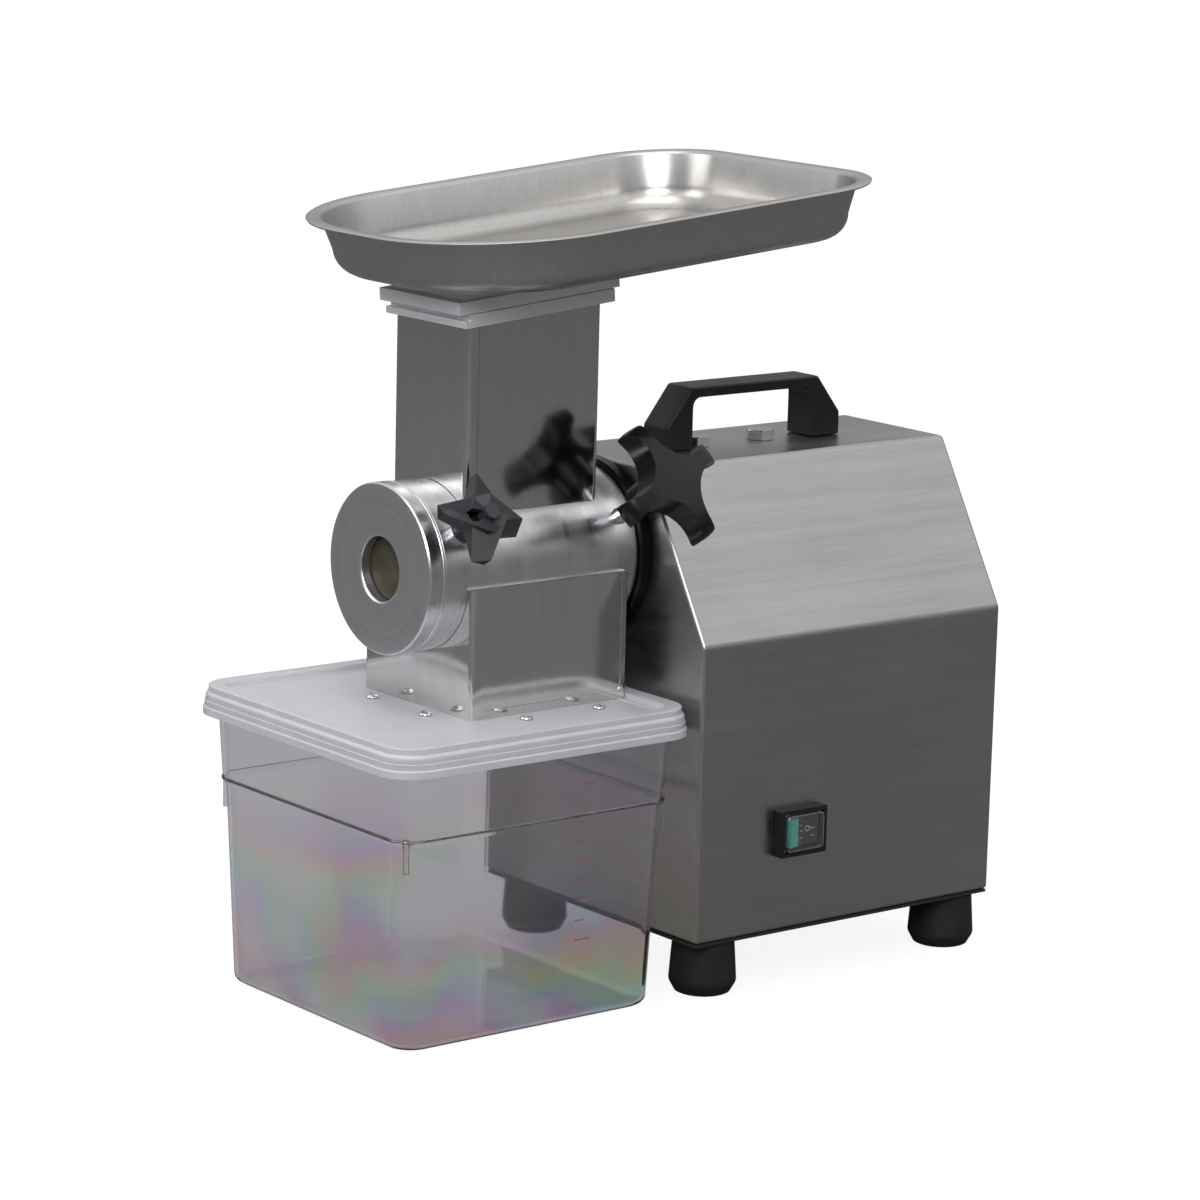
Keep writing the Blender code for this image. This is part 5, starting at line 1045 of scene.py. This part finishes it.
class GRINDER_OT_chute(bpy.types.Operator):
    """Folds the chute under the barrel"""

    bl_idname = "grinder.chute"
    bl_label = "Discharge chute"

    def execute(self, context):
        low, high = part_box("discharge_chute")
        base, top = low.z, high.z
        chute = box("chute_box", (-CHUTE_X, CHUTE_FRONT, base), (CHUTE_X, CHUTE_REAR, top))
        round_edges(chute, "z", 0.0035, 6)
        open_up(chute, lambda _, normal: normal.z < -0.9)
        shell(chute, CHUTE_WALL)
        join(chute, box("flange", (-0.080, -0.1726, base), (0.080, -0.0311, base + 0.0015)))
        inner = CHUTE_X - CHUTE_WALL
        cut(chute, box(
            "passage", (-inner, CHUTE_FRONT + CHUTE_WALL, base - 0.01),
            (inner, CHUTE_REAR - CHUTE_WALL, base + 0.01),
        ))
        panel = box("panel", (0.0554, -0.1405, base + 0.0085), (0.058, -0.0330, AXIS_Z + 0.001))
        round_edges(panel, "x", 0.004, 6, lambda middle: middle.z < AXIS_Z)
        cut(chute, panel)
        cut(chute, drum("saddle", SADDLE_RADIUS, -0.25, 0.05, along_y()))
        dress(chute, polished_finish(), "head", ["discharge_chute"], weighted=False)
        return {"FINISHED"}


class GRINDER_OT_lid(bpy.types.Operator):
    """Moulds the stepped lid and opens it for the chute"""

    bl_idname = "grinder.lid"
    bl_label = "Container lid"

    def execute(self, context):
        low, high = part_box("container_lid")
        foot, top = low.z, high.z
        lid = plate("milky_lid", 0.114, 0.114, all_corners(0.024), (0, LID_Y), foot)
        edit(lid)
        rise((0, 0.0042), (0.0005, 0.0006), (0.0004, 0.0003), (0, 0.0034), (0.0006, 0.0004), (0, 0.0030))
        rise((0.0004, 0.0008), (0.0006, 0.0007), (0.0009, 0.0005))
        leave()
        reached = max(vertex.co.z for vertex in lid.data.vertices)
        pick(lid, "FACE", lambda middle, normal: normal.z > 0.9 and middle.z > reached - FLAT)
        rise((0, top - reached - 0.0004), (0.0006, 0.0004), (0.0086, 0))
        rise((0.0012, -0.0005), (0.0012, -0.0020), (0.0012, -0.0008))
        rise((0.0030, 0), (0.0006, 0.0006), (0.0010, 0), (0.0006, -0.0006))
        leave()
        open_up(lid, lambda middle, normal: abs(normal.z) > 0.9 and middle.z < foot + FLAT)
        shell(lid, sizes().lid_wall)
        outer = CHUTE_X + GAP
        hole = box("hole", (-outer, CHUTE_FRONT - GAP, foot - 0.02), (outer, CHUTE_REAR + GAP, top + 0.02))
        round_edges(hole, "z", 0.0038, 6)
        combine(lid, hole, "DIFFERENCE", True)
        dress(lid, milky_plastic(), "head", ["container_lid"])
        return {"FINISHED"}


class GRINDER_OT_lid_screws(bpy.types.Operator):
    """Makes one domed cross-head screw and copies it round the chute"""

    bl_idname = "grinder.lid_screws"
    bl_label = "Lid screws"

    def execute(self, context):
        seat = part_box("lid_screw_1")[1].z - 0.0024 * sin(pi / 3)
        profile = [(0.002, seat - 0.006), (0.002, seat), (0.0038, seat), (0.0040, seat + 0.0002)]
        for step in range(1, 8):
            angle = pi / 2 * step / 8
            profile.append((0.0040 * cos(angle), seat + 0.0002 + 0.0020 * sin(angle)))
        first = turned("screw_pattern", profile, UPRIGHT, 40)
        for along, across in ((0.0022, 0.0004), (0.0004, 0.0022)):
            cut(first, box("cross", (-along, -across, seat + 0.0011), (along, across, seat + 0.004)))
        for index in range(1, 7):
            place = middle_of(f"lid_screw_{index}") @ Matrix.Rotation(0.5 * index, 4, "Z")
            screw = copied(first, f"domed_screw_{index}", place)
            dress(screw, screw_finish(), "head", [f"lid_screw_{index}"])
        bpy.data.objects.remove(first)
        return {"FINISHED"}


class GRINDER_OT_container(bpy.types.Operator):
    """Moulds the clear tub with its ridge and rim, its corner lugs and its level marks"""

    bl_idname = "grinder.container"
    bl_label = "Container"

    def execute(self, context):
        size = sizes()
        foot, waist, ridge, neck, rim = 0.0965, 0.1010, 0.1032, 0.1050, 0.1105
        bend, turns = 0.0060, (pi / 8, pi / 4, 3 * pi / 8, pi / 2)
        corners = all_corners(size.tub_corner - bend)
        tub = plate("clear_tub", foot - bend, foot - bend, corners, (0, LID_Y), 0.0)
        steps = [(foot - bend * (1 - sin(turn)), bend * (1 - cos(turn))) for turn in turns]
        steps += [((foot + waist) / 2, 0.068), (waist, 0.1285), (ridge - 0.0003, 0.1312), (ridge, 0.1318)]
        steps += [(ridge, 0.1330), (ridge - 0.0006, 0.1336), (ridge - 0.0004, 0.1350), (neck, 0.1790)]
        steps += [(rim - 0.0003, 0.1792), (rim, 0.1796), (rim, 0.1836), (rim - 0.0004, 0.1840)]
        edit(tub)
        half, height = foot - bend, 0.0
        for new_half, new_height in steps:
            bpy.ops.mesh.extrude_region_move(TRANSFORM_OT_translate={"value": (0, 0, new_height - height)})
            share = new_half / half
            bpy.ops.transform.resize(value=(share, share, 1), center_override=(0, LID_Y, new_height))
            half, height = new_half, new_height
        bpy.ops.mesh.delete(type="FACE")
        bpy.ops.mesh.select_all(action="SELECT")
        bpy.ops.mesh.normals_make_consistent(inside=False)
        leave()
        shell(tub, size.tub_wall)
        clear = clear_plastic("clear_container", colours().tub, 0.04, 1.50, 0.30)
        corner, reach = 0.0852, 0.0154
        lugs = None
        for turn in range(4):
            angle = pi / 4 + pi / 2 * turn
            side_x, side_y = (1 if part > 0 else -1 for part in (cos(angle), sin(angle)))
            spot = Matrix.Translation((corner * side_x, LID_Y + corner * side_y, 0))
            lug = box("lug", (reach - 0.0006, -0.0017, 0.1125), (reach + 0.0026, 0.0017, 0.1335))
            round_edges(lug, "z", 0.0010, 3, lambda middle: middle.x > reach)
            set_place(lug, spot @ Matrix.Rotation(angle, 4, "Z"))
            lugs = lug if lugs is None else join(lugs, lug)
        lugs.name = "corner_lugs"
        dress(lugs, clear, "container")
        dress(tub, clear, "container", ["container"], 40)
        marks = None
        for index in range(9):
            height = 0.052 + 0.0125 * index
            long = 0.012 if index % 2 == 0 else 0.006
            wall = foot + (waist - foot) * min(1.0, height / 0.1285) + (0.0026 if height > 0.1336 else 0.0)
            start = LID_Y + 0.030
            tick = box("tick", (wall - 0.0004, start, height), (wall + 0.0003, start + long, height + 0.0007))
            marks = tick if marks is None else join(marks, tick)
        marks.name = "level_marks"
        dress(marks, moulded("mark_red", colours().marks, 0.5, 0.0, 0.0, 0.1), "container")
        return {"FINISHED"}


# Knobs and studs

class GRINDER_OT_studs(bpy.types.Operator):
    """Turns the two clamping studs"""

    bl_idname = "grinder.studs"
    bl_label = "Clamping studs"

    def execute(self, context):
        for name, y, radius, reach, body in (
            ("star", STAR_Y, 0.0040, 0.0755, "star_screw"),
            ("clamp", CLAMP_Y, 0.0050, 0.0925, "clamp_screw"),
        ):
            profile = [(radius - 0.001, 0.0495), (radius, 0.0505)]
            station = 0.0515
            while name == "clamp" and station < 0.0640:
                valley = (radius - 0.0006, station + 0.0005)
                profile += [(radius, station), valley, (radius, station + 0.0010)]
                station += 0.0013
            profile += [(radius, station), (radius, reach - 0.0005), (radius - 0.0005, reach)]
            stud = turned(name + "_screw_stud", profile, outward(y, 0), 48)
            dress(stud, screw_finish(), body, [name + "_stud"])
        return {"FINISHED"}


class GRINDER_OT_star_knob(bpy.types.Operator):
    """Cuts one ridged arm, repeats it four times and joins the arms on the hub"""

    bl_idname = "grinder.star_knob"
    bl_label = "Star knob"

    def execute(self, context):
        back, face = 0.0150, 0.0295
        core = [
            (0.0086, 0.0), (0.0090, 0.0005), (0.0092, back + 0.001), (0.0078, back + 0.005),
            (0.0056, face - 0.0010),
        ]
        knob = turned("star_grip", core, UPRIGHT, 64)
        for arm in range(4):
            blade = box("arm", (0.0, -0.0125, back), (0.0275, 0.0125, face + 0.001))
            for side in (-1, 1):
                slice_off(blade, (0.0130, side * 0.0092, 0), (0.0042, side * 0.0130, 0))
                slice_off(blade, (0.0273, side * 0.0012, 0), (0.0062, side * 0.0060, 0))
                slice_off(blade, (0.0075, 0, face), (0.0045, side * 0.0052, 0.0125))
            knob = join(knob, set_place(blade, Matrix.Rotation(pi / 2 * arm, 4, "Z")))
        cut(knob, drum("hole", 0.0050, face - 0.006, face + 0.004, UPRIGHT, 48))
        cut(knob, drum("socket", 0.0043, -0.004, 0.0153, UPRIGHT, 32))
        ease(knob, sizes().star_edge, 3, 20)
        set_place(knob, outward(STAR_Y, 0.0608, radians(-18)))
        finish = moulded("star_black_plastic", colours().star, 0.40, 0.08, 0.0, 0.3)
        dress(knob, finish, "star_knob", ["star_knob"], 40)
        return {"FINISHED"}


class GRINDER_OT_clamp_knob(bpy.types.Operator):
    """Turns a domed disc, bites four scallops out of it and rounds their edges"""

    bl_idname = "grinder.clamp_knob"
    bl_label = "Clamp knob"

    def execute(self, context):
        back, face = 0.022, 0.042
        edge = sizes().knob_edge
        outline = [
            (0.0105, back), (0.0380, back), (0.0400, back + 0.0012), (0.0405, back + 0.003),
            (0.0403, back + 0.009), (0.0394, back + 0.0115), (0.0372, back + 0.0140), (0.0325, back + 0.0165),
            (0.0250, back + 0.0183), (0.0160, back + 0.0194), (0.0060, face), (0.0005, face),
        ]
        knob = turned("clamp_grip", outline, UPRIGHT, FINE)
        for arm in range(4):
            angle = pi / 4 + pi / 2 * arm
            spot = Matrix.Translation((0.0405 * cos(angle), 0.0405 * sin(angle), 0))
            cut(knob, drum("bite", 0.0240, back - 0.01, face + 0.01, spot, 96))
        ease(knob, edge, 4, 35)
        hub = [(0.0110, 0), (0.0115, 0.0005), (0.0120, back + 0.002)]
        join(knob, turned("hub", hub, UPRIGHT, 64))
        cut(knob, drum("socket", 0.0053, -0.004, 0.0163, UPRIGHT, 32))
        set_place(knob, outward(CLAMP_Y, 0.0765, radians(24)))
        dress(knob, gloss_finish(), "clamp_knob", ["clamp_knob"], 40)
        return {"FINISHED"}


# Finishes of the parts that keep their own shapes

class GRINDER_OT_inner_parts(bpy.types.Operator):
    """Gives every part that is still shown its material"""

    bl_idname = "grinder.inner_parts"
    bl_label = "Inner parts"

    def execute(self, context):
        shaft = turned_metal("ground_steel", (0.42, 0.42, 0.43), 0.26, 600.0, 0.05)
        cast = brushed("cast_aluminium", (0.45, 0.46, 0.47), (90.0, 90.0, 90.0), 0.58, 0.25)
        iron = brushed("laminated_iron", (0.17, 0.17, 0.18), (60.0, 2400.0, 60.0), 0.5, 0.3)
        enamel = moulded("black_paint", (0.022, 0.022, 0.022), 0.48, 0.05, 0.0, 0.4)
        given = {
            "base_plate": enamel, "switch_rocker": rocker_finish(), "power_inlet": black_finish(),
            "shaft_seal": rubber_finish(), "output_bearing_front": shaft, "output_bearing_rear": shaft,
            "output_shaft": shaft, "output_gear": shaft, "lay_shaft": shaft, "lay_wheel": shaft,
            "gear_case": cast, "gear_cover": cast, "motor_case": enamel, "stator_core": iron,
            "rotor_core": iron, "motor_end_bell": cast, "cooling_fan": black_finish(), "motor_shaft": shaft,
            "run_capacitor": enamel, "grinding_drum": shaft, "drum_shaft": shaft,
        }
        for name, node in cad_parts.items():
            node.data.materials.clear()
            node.data.materials.append(given.get(name) or screw_finish())
        return {"FINISHED"}


# Stage

class GRINDER_OT_stage(bpy.types.Operator):
    """Sets the pale floor, the soft lamps and the camera"""

    bl_idname = "grinder.stage"
    bl_label = "Stage"

    def execute(self, context):
        scene = context.scene
        fresh()
        bpy.ops.mesh.primitive_plane_add(size=80, location=(0, 0, 0))
        floor = named("pale_floor")
        floor.data.materials.append(self.floor_finish())
        self.world(scene)
        for name, spot, aim, size, power in (
            ("key_lamp", (1.4, 1.6, 1.9), (0, 0, 0.25), 1.8, 3),
            ("front_lamp", (-1.2, -2.2, 1.6), (0, 0, 0.25), 1.6, 16),
            ("side_lamp", (1.9, -1.7, 1.9), (0, 0, 0.25), 1.3, 42),
            ("top_lamp", (0.2, -0.3, 2.6), (0, 0, 0.2), 2.0, 18),
        ):
            fresh()
            bpy.ops.object.light_add(type="AREA", location=spot)
            lamp = bpy.context.object
            lamp.name = name
            lamp.data.shape = "SQUARE"
            lamp.data.size = size
            lamp.data.energy = power
            lamp.rotation_euler = (Vector(aim) - Vector(spot)).to_track_quat("-Z", "Y").to_euler()
        self.camera(scene)
        scene.view_settings.view_transform = "Standard"
        return {"FINISHED"}

    def floor_finish(self):
        found = bpy.data.materials.new("pale_floor")
        found.use_nodes = True
        board = Board(found.node_tree)
        shader = found.node_tree.nodes["Principled BSDF"]
        shader.inputs["Base Color"].default_value = (0.12, 0.12, 0.12, 1)
        shader.inputs["Roughness"].default_value = 0.7
        shader.inputs["Specular IOR Level"].default_value = 0.2
        shader.inputs["Emission Color"].default_value = (1, 1, 1, 1)
        board.put(shader.inputs["Emission Strength"], self.seen(board, 0.90, 0.02, 0.28))
        return found

    def seen(self, board, camera, glossy, through):
        """How bright the pale surroundings look to the camera, in reflections and through clear parts."""
        path = board.add("ShaderNodeLightPath")
        total = board.sum("MULTIPLY", path.outputs["Is Camera Ray"], camera)
        total = board.sum("MULTIPLY_ADD", path.outputs["Is Glossy Ray"], glossy, total)
        return board.sum("MULTIPLY_ADD", path.outputs["Is Transmission Ray"], through, total)

    def world(self, scene):
        world = bpy.data.worlds.new("soft_room")
        scene.world = world
        world.use_nodes = True
        board = Board(world.node_tree)
        back = world.node_tree.nodes["Background"]
        place = board.add("ShaderNodeTexCoord").outputs["Generated"]
        parts = board.add("ShaderNodeSeparateXYZ")
        board.put(parts.inputs[0], place)
        level = board.span(parts.outputs[2], 0.14, 0.85, 0.05, 0.60)
        board.put(back.inputs["Strength"], board.sum("MAXIMUM", level, self.seen(board, 1.0, 0.0, 0.55)))
        back.inputs["Color"].default_value = (1, 1, 1, 1)

    def camera(self, scene):
        side, up, roll = radians(51.64), radians(11.56), radians(1.474)
        back = Vector((sin(side) * cos(up), -cos(side) * cos(up), sin(up)))
        right = (-back).cross(Vector((0, 0, 1))).normalized()
        above = right.cross(-back)
        across = right * cos(roll) + above * sin(roll)
        upward = above * cos(roll) - right * sin(roll)
        fresh()
        bpy.ops.object.camera_add(location=(2.1037, -1.6714, 0.7868))
        view = bpy.context.object
        view.name = "photo_camera"
        turn = Matrix((across, upward, back)).transposed()
        view.rotation_euler = turn.to_euler()
        view.data.sensor_width = 36.0
        view.data.lens = 129.65
        view.data.dof.use_dof = False
        scene.camera = view


class GRINDER_PT_panel(bpy.types.Panel):
    """Lists the grinder's pieces and finishes"""

    bl_label = "Food grinder"
    bl_idname = "GRINDER_PT_panel"
    bl_space_type = "VIEW_3D"
    bl_region_type = "UI"
    bl_category = "Grinder"

    def draw(self, context):
        for piece in PIECES:
            self.layout.operator(piece.bl_idname)
        for holder in (context.scene.grinder_sizes, context.scene.grinder_colours):
            for key in holder.bl_rna.properties.keys():
                if key not in {"rna_type", "name"}:
                    self.layout.prop(holder, key)


PIECES = (
    GRINDER_OT_housing, GRINDER_OT_feet, GRINDER_OT_handle, GRINDER_OT_hanger_bolts, GRINDER_OT_switch,
    GRINDER_OT_hub, GRINDER_OT_barrel, GRINDER_OT_front_cap, GRINDER_OT_neck, GRINDER_OT_collar,
    GRINDER_OT_spout, GRINDER_OT_tray, GRINDER_OT_chute, GRINDER_OT_lid, GRINDER_OT_lid_screws,
    GRINDER_OT_container, GRINDER_OT_studs, GRINDER_OT_star_knob, GRINDER_OT_clamp_knob,
    GRINDER_OT_inner_parts, GRINDER_OT_stage,
)
CLASSES = (GrinderSizes, GrinderColours) + PIECES + (GRINDER_PT_panel,)


def register():
    for item in CLASSES:
        bpy.utils.register_class(item)
    bpy.types.Scene.grinder_sizes = PointerProperty(type=GrinderSizes)
    bpy.types.Scene.grinder_colours = PointerProperty(type=GrinderColours)


def unregister():
    del bpy.types.Scene.grinder_colours
    del bpy.types.Scene.grinder_sizes
    for item in reversed(CLASSES):
        bpy.utils.unregister_class(item)


def main():
    register()
    for piece in PIECES:
        getattr(bpy.ops.grinder, piece.bl_idname.split(".")[1])()


if __name__ == "__main__":
    main()
